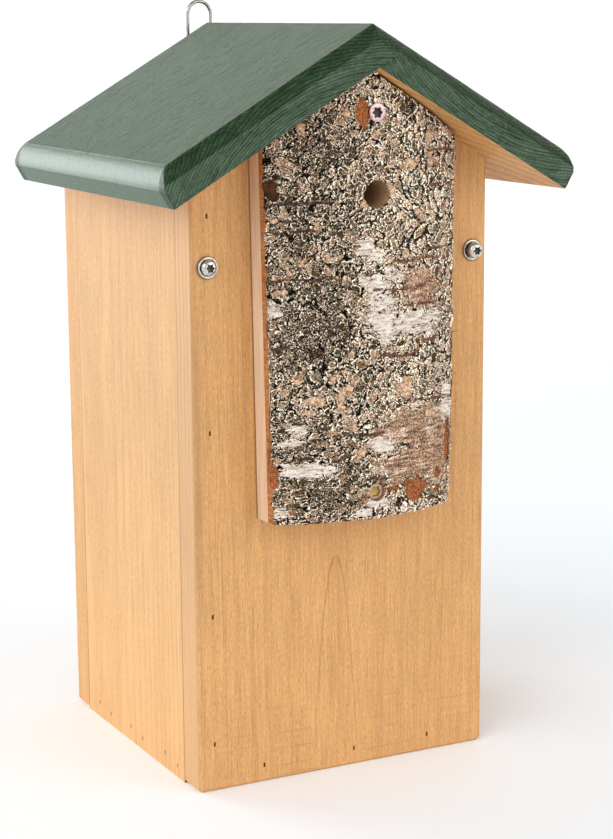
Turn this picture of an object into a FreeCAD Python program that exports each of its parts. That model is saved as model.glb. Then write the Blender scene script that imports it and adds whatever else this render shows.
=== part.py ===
# A woodpecker nest box: a square softwood box under a lapped gable roof, with a sawn slab of birch
# log screwed to its front, a starter hole bored through both, and a right side that hangs on two
# pivot screws and swings out at the bottom for cleaning.
# Frame: millimetres, +Z up, the front looks to -Y, origin at the centre of the box's underside.

import FreeCAD
import Part
import math
import os

V = FreeCAD.Vector
UP = V(0, 0, 1)
FRONT = V(0, -1, 0)
BACK = V(0, 1, 0)
LEFT = V(-1, 0, 0)

# Box
board_t = 18.0  # thickness of the front, back and side boards
floor_t = 18.0  # thickness of the floor board
box_w = 168.0  # width over the side boards
box_d = 168.0  # depth over the front and back boards
apex_h = 363.0  # underside of the roof at the ridge
edge_ease = 1.2  # cut off the outer edges of the front and back boards
corner_ease = 1.8  # cut off these boards' lower corners

# Roof
roof_pitch = math.radians(30.0)
roof_t = 18.0  # thickness of the roof boards
roof_slope_len = 135.0  # top face, from the ridge to the square end at the eave
roof_front_reach = 37.0  # overhang in front of the box
roof_back_set = 3.0  # the roof ends this far short of the back face
eave_round_top = 9.0  # moulded eave edge, taken off the top face
eave_round_end = 8.5  # moulded eave edge, taken off the end
verge_round_top = 6.6  # moulded front and back edges, taken off the top face
verge_round_face = 6.5  # moulded front and back edges, taken off the upright face
round_turn = math.radians(50.0)  # angle that a moulded edge's arc turns through

# Swing-out side
door_side_gap = 0.75  # to the front and back boards
door_bottom_gap = 2.0  # above the ground
door_top_gap = 1.5  # below the roof, square to it
door_floor_gap = 0.5  # to the floor's edge, which stops it when shut
pivot_drop = 46.5  # below the top of the side at its outer face
pivot_inset = 8.5  # from the outer face
pivot_proud = 2.0  # left between each pivot screw's head and its washer
running_clear = 0.05  # pivot shank to its bore, on the radius

# Birch slab and its hole
slab_x = 3.0  # centre of the slab to the right of the box's centre
slab_len = 223.0  # from the roof's underside at the ridge to the sawn foot
slab_top_w = 110.0  # width at the shoulders
slab_foot_w = 104.5  # width at the foot
slab_mid_t = 30.0  # thickness over the bark at the centre
slab_left_t = 16.5  # thickness over the bark at the left edge
slab_right_t = 13.0  # thickness over the bark at the right edge
bark_t = 6.5  # thickness of the bark
slab_top_gap = 1.0  # to the roof's underside, square to it
entrance_d = 14.0  # starter hole
entrance_drop = 61.0  # below the roof's underside at the ridge

# Main relief of the bark: heights over the arched face on an even grid, rows from the foot up
bark_relief = (
    (-0.4, 0.2, -0.8, 0.0, -0.6, 0.1, -0.8),
    (-1.0, -0.9, 0.1, 0.0, -1.1, -0.2, -1.2),
    (0.1, 0.2, -0.9, 0.1, -0.3, -0.8, 0.0),
    (-0.9, 0.2, 0.3, -0.9, 0.3, -0.7, 0.1),
    (-0.2, -1.1, -1.2, 0.1, -0.6, 0.2, -0.6),
    (0.0, -0.8, -1.0, 0.3, 0.3, -0.2, -0.9),
    (-0.8, 0.1, 0.2, 0.3, -0.9, 0.1, -0.2),
    (-1.1, -1.1, -0.6, -0.2, -0.7, 0.2, -0.8),
    (-0.6, 0.2, -0.9, 0.0, 0.2, -0.7, 0.1),
    (-0.4, -0.8, -0.7, 0.0, -1.1, 0.0, -0.6),
    (0.0, 0.0, -0.6, 0.0, -0.6, 0.0, 0.0),
)

# Washer-head screws
pan_head_d = 8.0
pan_crown_d = 5.6  # flat at the top of the head
pan_head_h = 2.8
pan_shank_d = 4.0
pan_len = 45.0
washer_od = 10.5
washer_id = 5.3
washer_t = 1.0

# Slab screws, countersunk
csk_head_d = 9.0
csk_head_h = 3.2
csk_rim_h = 0.4
csk_shank_d = 4.5
csk_len = 42.0
csk_upper_drop = 21.5  # below the roof's underside at the ridge
csk_upper_sink = 0.4  # head below the bark's outer face
csk_lower_rise = 13.5  # above the slab's foot
csk_lower_sink = 2.2

# Star recess that all screws share
star_outer_d = 4.2
star_inner_d = 3.0
star_lobes = 6
star_depth = 1.6
screw_fit = 0.05  # shank or head to its hole in the wood, on the radius

# Brads
brad_thick = 1.2
brad_head_w = 2.4
brad_head_h = 0.9
brad_len = 32.0
brad_sink = 0.8  # head below the face of the board
column_low = (25.0, 92.0)  # heights of the two lower brads of an upright row
column_drop = (128.5, 21.5)  # the two upper ones, below the top of the side at its outer face
floor_row_inset = (19.0, 15.5)  # outer brads of a front or back row, from the floor's two edges
floor_row_mid = 5.5  # middle brad of such a row, to the right of the box's centre
floor_pair_step = 16.0  # between the two brads of a pair along the left side's foot
floor_pair_inset = (9.0, 16.0)  # outer pairs, from the floor's front and back edges
floor_pair_mid = -11.0  # first brad of the middle pair, behind the box's centre
floor_pair_zigzag = 1.0  # the brads of a pair lie this far below and above the row
floor_row_drop = 1.5  # row below the middle of the floor
roof_brad_inset = (30.0, 95.0)  # along each gable from the ridge, on the top face
roof_side_brads = (-23.0, 43.0)  # along the left side's top edge, behind the box's centre

# Hanging loop
wire_d = 2.1
wire_flats = 8  # flats round the wire, which stand for its circle
loop_w = 14.0  # between the centres of the legs
loop_rise = 12.7  # above the ridge
eye_r = 4.0  # eye at the foot of each leg, to the centre of the wire
eye_turn = math.radians(180.0)
eye_drop = 30.0  # below the roof's underside at the ridge
loop_screw_len = 16.0
seat_fit = 0.05  # screw head to wire

# Cutting tools run this far past what they cut
waste = 5.0

half_w = box_w / 2
half_d = box_d / 2
front_y = -half_d
back_y = half_d
inner_x = half_w - board_t
inner_y = half_d - board_t
pitch_tan = math.tan(roof_pitch)
pitch_cos = math.cos(roof_pitch)
pitch_sin = math.sin(roof_pitch)
ridge_h = apex_h + roof_t / pitch_cos
wall_h = apex_h - half_w * pitch_tan
pivot_h = wall_h - pivot_drop
pivot_x = half_w - pivot_inset
floor_right_x = inner_x - door_floor_gap
roof_y0 = front_y - roof_front_reach
roof_len = back_y - roof_back_set - roof_y0
slab_foot_h = apex_h - slab_len
slab_face_y = front_y - slab_mid_t
entrance_h = apex_h - entrance_drop


def under_roof(x, gap=0.0):
    """Height of the roof's underside at x, less a gap square to it."""
    return apex_h - abs(x) * pitch_tan - gap / pitch_cos


def prism(points, run):
    """Solid with the polygon of points as its section, pushed along run."""
    return Part.Face(Part.makePolygon(points + points[:1])).extrude(run)


def upright(outline, y, depth):
    """Board with an (x, z) outline, from y backwards."""
    return prism([V(x, y, z) for x, z in outline], V(0, depth, 0))


def block(x0, x1, y0, y1, z0, z1):
    """Box between two corners."""
    return Part.makeBox(x1 - x0, y1 - y0, z1 - z0, V(x0, y0, z0))


def aimed(shape, base, out):
    """Shape made along +Z at the origin, moved to base and turned to point along out."""
    shape.Placement = FreeCAD.Placement(base, FreeCAD.Rotation(UP, out))
    return shape


def turned(points):
    """Solid of revolution about Z from the closed (radius, height) points of a half section."""
    return Part.Face(Part.makePolygon([V(r, 0, h) for r, h in points])).revolve(V(0, 0, 0), UP, 360)


def bore(base, out, diameter, depth):
    """Cutting cylinder that goes in from base against out, and runs a little past its mouth."""
    return Part.makeCylinder(diameter / 2, depth + waste, base + out * waste, out * -1)


def star_recess(top):
    """Star prism that sinks into a screw head whose top is at the given height."""
    step = math.pi / star_lobes
    radii = (star_outer_d / 2, star_inner_d / 2)
    corners = []
    for i in range(2 * star_lobes):
        r = radii[i % 2]
        corners.append(V(r * math.cos(i * step), r * math.sin(i * step), top - star_depth))
    return prism(corners, V(0, 0, star_depth + waste))


def pan_screw(base, out, length):
    """Pan-head screw whose head seats at base and looks along out."""
    head_r = pan_head_d / 2
    shank_r = pan_shank_d / 2
    points = [
        (0, pan_head_h), (pan_crown_d / 2, pan_head_h), (head_r, 0), (shank_r, 0),
        (shank_r, -length), (0, -length), (0, pan_head_h),
    ]
    return aimed(turned(points).cut(star_recess(pan_head_h)), base, out)


def washer(base, out):
    """Flat washer that lies on base and looks along out."""
    disc = Part.makeCylinder(washer_od / 2, washer_t)
    return aimed(disc.cut(Part.makeCylinder(washer_id / 2, washer_t)), base, out)


def csk_profile(clear, top):
    """Countersunk screw section, or with a clearance the hole that takes it."""
    head_r = csk_head_d / 2 + clear
    shank_r = csk_shank_d / 2 + clear
    points = [
        (0, top), (head_r, top), (head_r, -csk_rim_h), (shank_r, -csk_head_h),
        (shank_r, -csk_len), (0, -csk_len), (0, top),
    ]
    return turned(points)


def csk_screw(base, out):
    """Countersunk screw with the top of its head at base."""
    return aimed(csk_profile(0.0, 0.0).cut(star_recess(0.0)), base, out)


def csk_hole(base, out):
    """Counterbored hole for a countersunk screw, open past the bark."""
    return aimed(csk_profile(screw_fit, csk_lower_sink + waste), base, out)


def bar(base, run, wide, width):
    """Flat bar from base along run, width wide and one brad thick."""
    across = run.cross(wide).normalize() * (brad_thick / 2)
    side = wide * (width / 2)
    low = base - across
    high = base + across
    return prism([low - side, low + side, high + side, high - side], run)


def brad(base, out, wide):
    """Brad driven in at base, its head sunk below the face; wide is the long way of the head."""
    top = base - out * brad_sink
    head = bar(top, out * -brad_head_h, wide, brad_head_w)
    neck = top - out * brad_head_h
    return head.fuse(bar(neck, out * (brad_head_h - brad_len), wide, brad_thick)).removeSplitter()


def brad_hole(base, out, wide):
    """Space that a brad and its sunk mouth take out of the boards."""
    mouth = bar(base + out * waste, out * -(waste + brad_sink), wide, brad_head_w)
    return brad(base, out, wide).fuse(mouth)


def gable_outline(inset):
    """Outline of the front and back boards, drawn in at the sides and the bottom."""
    wide = half_w - inset
    low = corner_ease + inset * (math.sqrt(2) - 1)
    return [
        (low - half_w, inset), (half_w - low, inset), (wide, low), (wide, under_roof(wide)),
        (0, apex_h), (-wide, under_roof(wide)), (-wide, low),
    ]


def gable_board(face_y, inner_face_y):
    """Front or back board with the sides and bottom of its outer face eased."""
    full_y = face_y + math.copysign(edge_ease, inner_face_y - face_y)
    sections = []
    for inset, y in ((edge_ease, face_y), (0.0, full_y)):
        corners = [V(x, y, z) for x, z in gable_outline(inset)]
        sections.append(Part.makePolygon(corners + corners[:1]))
    rim = Part.makeLoft(sections, True, True)
    body = upright(gable_outline(0.0), min(full_y, inner_face_y), board_t - edge_ease)
    return rim.fuse(body).removeSplitter()


def slope_axes(side):
    """Directions down a roof slope and out of its top face; side is -1 left, +1 right."""
    return V(side * pitch_cos, 0, -pitch_sin), V(side * pitch_sin, 0, pitch_cos)


def moulding(start, run, inward, out, top_set, face_set):
    """Waste outside a convex moulded edge that starts at start and goes along run."""
    def at(q, n):
        return start + inward * q + out * n
    chord = math.hypot(top_set, face_set)
    sagitta = chord / 2 * math.tan(round_turn / 4)
    arc_mid = at(top_set / 2 - face_set * sagitta / chord, top_set * sagitta / chord - face_set / 2)
    arc = Part.Arc(at(top_set, 0), arc_mid, at(0, -face_set)).toShape()
    rest = Part.makePolygon([
        at(0, -face_set), at(-waste, -face_set), at(-waste, waste), at(top_set, waste), at(top_set, 0),
    ])
    return Part.Face(Part.Wire([arc] + rest.Edges)).extrude(run)


def verge_mouldings():
    """Waste of the front and back edges of both slopes, which mitre at the ridge."""
    tools = []
    for side in (-1, 1):
        down, out = slope_axes(side)
        run = down * (roof_slope_len + roof_t + waste)
        for y, inward in ((roof_y0, BACK), (roof_y0 + roof_len, FRONT)):
            start = V(0, y, ridge_h) - down * roof_t
            tools.append(moulding(start, run, inward, out, verge_round_top, verge_round_face))
    return tools


def roof_board(side, top_start, under_start):
    """Roof board whose top and bottom faces begin at the given distances down its slope."""
    down, out = slope_axes(side)
    ridge = V(0, roof_y0, ridge_h)
    section = [(top_start, 0), (roof_slope_len, 0), (roof_slope_len, -roof_t), (under_start, -roof_t)]
    board = prism([ridge + down * s + out * n for s, n in section], BACK * roof_len)
    eave_start = ridge + down * roof_slope_len + FRONT * waste
    eave_run = BACK * (roof_len + 2 * waste)
    eave = moulding(eave_start, eave_run, down * -1, out, eave_round_top, eave_round_end)
    return board.cut([eave] + verge_mouldings())


def roof_brad_seats(side):
    """Places, directions and head lines of one roof board's brads."""
    down, out = slope_axes(side)
    seats = []
    for y in (front_y + board_t / 2, back_y - board_t / 2):
        for s in roof_brad_inset:
            seats.append((V(0, y, ridge_h) + down * s, out, down))
    if side < 0:
        side_mid = (half_w - board_t / 2 + roof_t * pitch_sin) / pitch_cos
        for y in roof_side_brads:
            seats.append((V(0, y, ridge_h) + down * side_mid, out, BACK))
    return seats


def column_seats(y, out):
    """Upright row of brads through the front or back board into the left side."""
    x = board_t / 2 - half_w
    heights = list(column_low) + [wall_h - drop for drop in column_drop]
    return [(V(x, y, z), out, UP) for z in heights]


def floor_row_seats(y, out):
    """Row of brads through the front or back board into the floor."""
    places = (floor_row_inset[0] - inner_x, floor_row_mid, floor_right_x - floor_row_inset[1])
    return [(V(x, y, floor_t / 2), out, UP) for x in places]


def floor_pair_seats():
    """Pairs of brads through the left side into the floor."""
    last = inner_y - floor_pair_inset[1] - floor_pair_step
    starts = (floor_pair_inset[0] - inner_y, floor_pair_mid, last)
    seats = []
    for start in starts:
        for i, shift in enumerate((-floor_pair_zigzag, floor_pair_zigzag)):
            place = V(-half_w, start + i * floor_pair_step, floor_t / 2 - floor_row_drop + shift)
            seats.append((place, LEFT, UP))
    return seats


def slab_arc(thickness_less):
    """Arc of the slab's face along its foot, less some thickness all over."""
    def face_at(x, thickness):
        return V(x, front_y - thickness + thickness_less, slab_foot_h)
    left = face_at(slab_x - slab_top_w / 2, slab_left_t)
    right = face_at(slab_x + slab_top_w / 2, slab_right_t)
    return Part.Arc(left, face_at(slab_x, slab_mid_t), right).toShape()


def slab_core():
    """Wood of the slab before it is trimmed: flat back on the box and arched face under the bark."""
    arc = slab_arc(bark_t)
    left, right = (vertex.Point for vertex in arc.Vertexes)
    back_corners = [V(right.x, front_y, slab_foot_h), V(left.x, front_y, slab_foot_h)]
    back = Part.makePolygon([right] + back_corners + [left])
    return Part.Face(Part.Wire([arc] + back.Edges)).extrude(V(0, 0, slab_len))


def bark_blank():
    """Slab with its bark before it is trimmed: three-cornered facets over the arched face."""
    circle = slab_arc(0.0).Curve
    rows = len(bark_relief)
    cols = len(bark_relief[0])

    def corner(row, col):
        x = slab_x + (slab_top_w + 2 * waste) * (col / (cols - 1) - 0.5)
        z = slab_foot_h - waste + (slab_len + 2 * waste) * row / (rows - 1)
        arch = math.sqrt(circle.Radius ** 2 - (x - circle.Center.x) ** 2)
        return V(x, circle.Center.y - arch - bark_relief[row][col], z)

    def flat(point):
        return V(point.x, front_y, point.z)
    grid = [[corner(row, col) for col in range(cols)] for row in range(rows)]
    sheets = []
    for low, high in zip(grid, grid[1:]):
        for k in range(cols - 1):
            sheets.append([low[k], low[k + 1], high[k + 1]])
            sheets.append([low[k], high[k + 1], high[k]])
    rim = grid[0] + [row[-1] for row in grid[1:]] + grid[-1][-2::-1] + [row[0] for row in grid[-2:0:-1]]
    for a, b in zip(rim, rim[1:] + rim[:1]):
        sheets.append([a, b, flat(b), flat(a)])
    sheets.append([flat(point) for point in rim])
    shell = Part.makeShell([Part.Face(Part.makePolygon(s + s[:1])) for s in sheets])
    shell.sewShape()
    solid = Part.makeSolid(shell)
    if solid.Volume < 0:
        solid.reverse()
    return solid


def slab_trim():
    """Outline of the slab seen from the front: tapered sides, and a top cut to the roof."""
    foot = (slab_x - slab_foot_w / 2, slab_x + slab_foot_w / 2)
    top = (slab_x - slab_top_w / 2, slab_x + slab_top_w / 2)
    outline = [
        (foot[0], slab_foot_h), (foot[1], slab_foot_h), (top[1], under_roof(top[1], slab_top_gap)),
        (0, under_roof(0, slab_top_gap)), (top[0], under_roof(top[0], slab_top_gap)),
    ]
    return upright(outline, front_y - slab_mid_t - waste, slab_mid_t + waste)


def wire_section(centre, outward):
    """Section of the wire square to its run, with one flat towards the back board."""
    across = outward.normalize()
    reach = wire_d / 2 / math.cos(math.pi / wire_flats)
    angles = [math.pi * (2 * i + 1) / wire_flats for i in range(wire_flats)]
    corners = [centre + BACK * (reach * math.cos(a)) + across * (reach * math.sin(a)) for a in angles]
    return Part.Face(Part.makePolygon(corners + corners[:1]))


def wire_bend(centre, start, turn):
    """Bent wire in the plane of the back board: from start about centre, turn positive from +X to +Z."""
    return wire_section(start, start - centre).revolve(centre, FRONT, math.degrees(turn))


def hanging_loop():
    """Bent wire: an eye, a leg, the loop, a leg and an eye, flat against the back board."""
    y = back_y + wire_d / 2
    leg_x = loop_w / 2
    eye_z = apex_h - eye_drop
    loop_z = ridge_h + loop_rise - wire_d / 2 - leg_x
    pieces = [wire_bend(V(0, y, loop_z), V(leg_x, y, loop_z), math.pi)]
    for side in (-1, 1):
        foot = V(side * leg_x, y, eye_z)
        pieces.append(wire_section(foot, V(1, 0, 0)).extrude(V(0, 0, loop_z - eye_z)))
        pieces.append(wire_bend(foot + V(side * eye_r, 0, 0), foot, side * eye_turn))
    return pieces[0].multiFuse(pieces[1:]).removeSplitter()


def group(shapes):
    """Like pieces that share a node."""
    return Part.makeCompound(shapes)


def brads(seats):
    """Brads of one row as a group."""
    return group([brad(*seat) for seat in seats])


def brad_holes(seats):
    """Holes of one row."""
    return [brad_hole(*seat) for seat in seats]


# Where the fasteners sit
left_x = board_t / 2 - half_w
front_column = column_seats(front_y, FRONT)
back_column = column_seats(back_y, BACK)
front_row = floor_row_seats(front_y, FRONT)
back_row = floor_row_seats(back_y, BACK)
left_pairs = floor_pair_seats()
roof_left_seats = roof_brad_seats(-1)
roof_right_seats = roof_brad_seats(1)
wall_faces = ((front_y, FRONT), (back_y, BACK))
side_seats = [(V(left_x, y, pivot_h), out) for y, out in wall_faces]
pivot_seats = [(V(pivot_x, y, pivot_h), out) for y, out in wall_faces]
slab_seats = [
    (V(slab_x, slab_face_y + csk_upper_sink, apex_h - csk_upper_drop), FRONT),
    (V(slab_x, slab_face_y + csk_lower_sink, slab_foot_h + csk_lower_rise), FRONT),
]
loop_seats = [(V(side * (loop_w / 2 + eye_r), back_y, apex_h - eye_drop), BACK) for side in (-1, 1)]

# Holes
entrance = bore(V(slab_x, slab_face_y, entrance_h), FRONT, entrance_d, slab_mid_t + board_t + waste)
fixed_hole_d = pan_shank_d + 2 * screw_fit
pivot_hole_d = pan_shank_d + 2 * running_clear
side_holes = [bore(base, out, fixed_hole_d, pan_len) for base, out in side_seats]
pivot_holes = [bore(base, out, pivot_hole_d, pan_len) for base, out in pivot_seats]
loop_holes = [bore(base, out, fixed_hole_d, loop_screw_len) for base, out in loop_seats]
slab_holes = [csk_hole(base, out) for base, out in slab_seats]
front_brad_holes = brad_holes(front_column) + brad_holes(front_row)
back_brad_holes = brad_holes(back_column) + brad_holes(back_row)
roof_left_holes = brad_holes(roof_left_seats)
roof_right_holes = brad_holes(roof_right_seats)
roof_holes = roof_left_holes + roof_right_holes

# Box boards
front_blank = gable_board(front_y, -inner_y)
back_blank = gable_board(back_y, inner_y)
left_outline = [(-half_w, 0), (-inner_x, 0), (-inner_x, under_roof(inner_x)), (-half_w, wall_h)]
left_blank = upright(left_outline, -inner_y, 2 * inner_y)
floor_blank = block(-inner_x, floor_right_x, -inner_y, inner_y, 0, floor_t)
door_outline = [
    (inner_x, door_bottom_gap), (half_w, door_bottom_gap),
    (half_w, under_roof(half_w, door_top_gap)), (inner_x, under_roof(inner_x, door_top_gap)),
]
door_y = inner_y - door_side_gap
door_blank = upright(door_outline, -door_y, 2 * door_y)

# Ridge lap: the left board runs over the right one, and its end lies in the right slope
lap = roof_t / math.tan(2 * roof_pitch)
under_set = roof_t * pitch_tan
roof_left = roof_board(-1, 0.0, -lap)
roof_right = roof_board(1, under_set + lap, under_set)

# Slab
trim = slab_trim()
wood_blank = slab_core()
slab_wood = wood_blank.common(trim)
slab_bark = bark_blank().cut(wood_blank).common(trim)

nodes = {
    "front_panel": front_blank.cut(
        [entrance, side_holes[0], pivot_holes[0]] + slab_holes + front_brad_holes + roof_holes
    ),
    "back_panel": back_blank.cut(
        [side_holes[1], pivot_holes[1]] + loop_holes + back_brad_holes + roof_holes
    ),
    "left_side": left_blank.cut(
        side_holes + brad_holes(front_column + back_column + left_pairs) + roof_left_holes
    ),
    "right_side_door": door_blank.cut(pivot_holes),
    "floor_board": floor_blank.cut(brad_holes(front_row + back_row + left_pairs)),
    "roof_left": roof_left.cut(roof_left_holes),
    "roof_right": roof_right.cut(roof_right_holes),
    "slab_wood": slab_wood.cut([entrance] + slab_holes),
    "slab_bark": slab_bark.cut([entrance] + slab_holes),
    "slab_screws": group([csk_screw(base, out) for base, out in slab_seats]),
    "pivot_screws": group([
        pan_screw(base + out * (washer_t + pivot_proud), out, pan_len) for base, out in pivot_seats
    ]),
    "pivot_washers": group([washer(base, out) for base, out in pivot_seats]),
    "side_screws": group([pan_screw(base + out * washer_t, out, pan_len) for base, out in side_seats]),
    "side_washers": group([washer(base, out) for base, out in side_seats]),
    "front_side_brads": brads(front_column),
    "front_floor_brads": brads(front_row),
    "left_floor_brads": brads(left_pairs),
    "back_side_brads": brads(back_column),
    "back_floor_brads": brads(back_row),
    "roof_left_brads": brads(roof_left_seats),
    "roof_right_brads": brads(roof_right_seats),
    "hanging_loop": hanging_loop(),
    "loop_screws": group([
        pan_screw(base + out * (wire_d + seat_fit), out, loop_screw_len) for base, out in loop_seats
    ]),
}

os.makedirs("parts", exist_ok=True)
for name, shape in nodes.items():
    if not shape.isValid():
        raise ValueError(name + " is not a valid shape")
    shape.exportStep("parts/" + name + ".step")
    print(name, len(shape.Solids), round(shape.Volume, 1))
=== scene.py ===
"""Looks of the woodpecker nest box: boards, painted roof, birch slab, steel hardware, studio and camera."""

import logging
import math
from collections.abc import Mapping, Sequence
from dataclasses import dataclass, field
from enum import Enum
from functools import partialmethod
from typing import Any

import bmesh
import bpy
import numpy as np
from mathutils import Matrix, Vector


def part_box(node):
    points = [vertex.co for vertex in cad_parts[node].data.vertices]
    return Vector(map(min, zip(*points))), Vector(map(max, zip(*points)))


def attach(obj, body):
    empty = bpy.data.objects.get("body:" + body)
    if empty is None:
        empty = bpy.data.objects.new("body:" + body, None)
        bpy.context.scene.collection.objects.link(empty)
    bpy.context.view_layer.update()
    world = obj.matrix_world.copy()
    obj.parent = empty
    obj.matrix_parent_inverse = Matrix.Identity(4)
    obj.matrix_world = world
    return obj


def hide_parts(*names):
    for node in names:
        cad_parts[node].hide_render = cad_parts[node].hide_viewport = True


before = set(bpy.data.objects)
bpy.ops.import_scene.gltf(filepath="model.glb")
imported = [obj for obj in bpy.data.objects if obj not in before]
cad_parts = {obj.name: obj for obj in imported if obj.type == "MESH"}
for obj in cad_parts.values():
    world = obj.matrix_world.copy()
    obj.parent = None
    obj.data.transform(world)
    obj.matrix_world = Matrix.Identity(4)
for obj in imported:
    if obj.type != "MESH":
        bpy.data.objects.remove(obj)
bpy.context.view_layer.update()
log = logging.getLogger("nest_box")

Array = np.ndarray
Pair = tuple[float, float]
Spot = tuple[float, float, float]
Colour = tuple[float, float, float]
Tones = tuple[Colour, Colour]
Material = bpy.types.Material
MM = 0.001


# Noise over arrays


def hashed(ix: Array, iz: Array, seed: int) -> Array:
    """Even random numbers on a lattice: integer coordinates mixed by multiply and shift.

    Args:
        ix: Lattice columns.
        iz: Lattice rows.
        seed: Number of the draw.

    Returns:
        Numbers from 0 to 1, one for each lattice point.
    """
    a = ix.astype(np.int64).astype(np.uint64) * np.uint64(374761393)
    b = iz.astype(np.int64).astype(np.uint64) * np.uint64(668265263)
    h = (a + b + np.uint64(seed * 2246822519 + 97)) & np.uint64(0xFFFFFFFF)
    h = ((h ^ (h >> np.uint64(13))) * np.uint64(1274126177)) & np.uint64(0xFFFFFFFF)
    h = ((h ^ (h >> np.uint64(15))) * np.uint64(2654435761)) & np.uint64(0xFFFFFFFF)
    return ((h ^ (h >> np.uint64(16))) & np.uint64(0xFFFFFF)).astype(float) / float(0x1000000)


def smooth(t: Array, low: float, high: float) -> Array:
    """Smooth step from 0 at low to 1 at high, low above high for a falling one."""
    k = np.clip((t - low) / (high - low), 0.0, 1.0)
    return k * k * (3.0 - 2.0 * k)


def waves(x: Array, z: Array, seed: int) -> Array:
    """Value noise: lattice numbers joined by smooth steps, from -1 to 1.

    Args:
        x: First coordinate, in lattice cells.
        z: Second coordinate, likewise.
        seed: Number of the draw.

    Returns:
        The noise.
    """
    i, j = np.floor(x), np.floor(z)
    u, v = smooth(x - i, 0.0, 1.0), smooth(z - j, 0.0, 1.0)
    low = hashed(i, j, seed) * (1 - u) + hashed(i + 1, j, seed) * u
    high = hashed(i, j + 1, seed) * (1 - u) + hashed(i + 1, j + 1, seed) * u
    return 2.0 * (low * (1 - v) + high * v) - 1.0


def fractal(x: Array, z: Array, seed: int, octaves: int = 4, gain: float = 0.5) -> Array:
    """Sum of value noises, each at twice the frequency and gain times the height of the one before.

    Args:
        x: First coordinate, in lattice cells of the coarsest noise.
        z: Second coordinate, likewise.
        seed: Number of the draw.
        octaves: How many noises are added.
        gain: Height of each noise against the one before.

    Returns:
        Noise of about -1 to 1.
    """
    heights = [gain ** k for k in range(octaves)]
    layers = [height * waves(x * 2.0 ** k + 17.3 * k, z * 2.0 ** k - 9.1 * k, seed + k)
              for k, height in enumerate(heights)]
    return sum(layers) / sum(heights)


def cells(x: Array, z: Array, seed: int) -> tuple[Array, Array]:
    """Scattered cells: each lattice square holds one point, and a place belongs to the nearest point.

    Args:
        x: First coordinate, in squares.
        z: Second coordinate, in squares.
        seed: Number of the draw.

    Returns:
        How much further the second nearest point is than the nearest, and the random tone of the cell.
    """
    i, j = np.floor(x), np.floor(z)
    first = np.full(x.shape, 9.0)
    second = np.full(x.shape, 9.0)
    tone = np.zeros(x.shape)
    for di in (-1, 0, 1):
        for dj in (-1, 0, 1):
            a, b = i + di, j + dj
            gap = np.hypot(a + hashed(a, b, seed) - x, b + hashed(a, b, seed + 1) - z)
            nearer = gap < first
            second = np.where(nearer, first, np.minimum(second, gap))
            tone = np.where(nearer, hashed(a, b, seed + 2), tone)
            first = np.where(nearer, gap, first)
    return second - first, tone


# Shader expressions


class Signal:
    """A node's output socket in Python expressions; each operator, fract, sine and most add a Math node."""

    def __init__(self, graph: "Graph", socket: bpy.types.NodeSocket) -> None:
        """Holds the socket and the graph that it belongs to."""
        self.graph = graph
        self.socket = socket

    def math(self, operation: str, *others: Any) -> "Signal":
        """Math node on this value and the others."""
        return self.graph.node("ShaderNodeMath", {"operation": operation}, dict(enumerate((self, *others))))

    __add__ = __radd__ = partialmethod(math, "ADD")
    __sub__ = partialmethod(math, "SUBTRACT")
    __mul__ = partialmethod(math, "MULTIPLY")
    __truediv__ = partialmethod(math, "DIVIDE")
    __pow__ = partialmethod(math, "POWER")
    __abs__ = partialmethod(math, "ABSOLUTE")
    fract = partialmethod(math, "FRACT")
    sine = partialmethod(math, "SINE")
    most = partialmethod(math, "MAXIMUM")

    def __rsub__(self, other: float) -> "Signal":
        """Difference from a number."""
        return self.graph.node("ShaderNodeMath", {"operation": "SUBTRACT"}, {0: other, 1: self})

    def hypot(self, other: "Signal") -> "Signal":
        """Distance whose two parts, square to each other, are this value and the other."""
        return (self * self + other * other) ** 0.5

    def wave(self) -> "Signal":
        """Sine of an angle, brought to 0 to 1."""
        return self.sine() * 0.5 + 0.5

    def ramp(self, low: float, high: float, start: float = 0.0, end: float = 1.0) -> "Signal":
        """Smooth step from start at low to end at high.

        Args:
            low: Value where the step begins.
            high: Value where it ends, below low for a falling step.
            start: Result at and before low.
            end: Result at and past high.

        Returns:
            The stepped value.
        """
        if low > high:
            low, high, start, end = high, low, end, start
        settings = {"interpolation_type": "SMOOTHSTEP"}
        return self.graph.node("ShaderNodeMapRange", settings, {0: self, 1: low, 2: high, 3: start, 4: end})


class Graph:
    """A node tree that takes signals."""

    def __init__(self, tree: bpy.types.NodeTree) -> None:
        """Holds the tree."""
        self.tree = tree

    def feed(self, socket: bpy.types.NodeSocket, value: Any) -> None:
        """Links a signal to a socket, or sets the socket to a plain value.

        Args:
            socket: Input of a node.
            value: Signal, number, vector or colour.
        """
        if isinstance(value, Signal):
            self.tree.links.new(value.socket, socket)
        elif isinstance(value, tuple) and socket.type == "RGBA":
            socket.default_value = (*value, 1.0)
        else:
            socket.default_value = value

    def node(self, kind: str, settings: Mapping[str, Any], inputs: Mapping[Any, Any],
             out: int | str = 0) -> Signal:
        """Any node.

        Args:
            kind: Type of the node.
            settings: Its properties, set first.
            inputs: Values or signals by socket index or name.
            out: Output that is wanted.

        Returns:
            That output as a signal.
        """
        made = self.tree.nodes.new(kind)
        for name, value in settings.items():
            setattr(made, name, value)
        for key, value in inputs.items():
            self.feed(made.inputs[key], value)
        return Signal(self, made.outputs[out])


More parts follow.
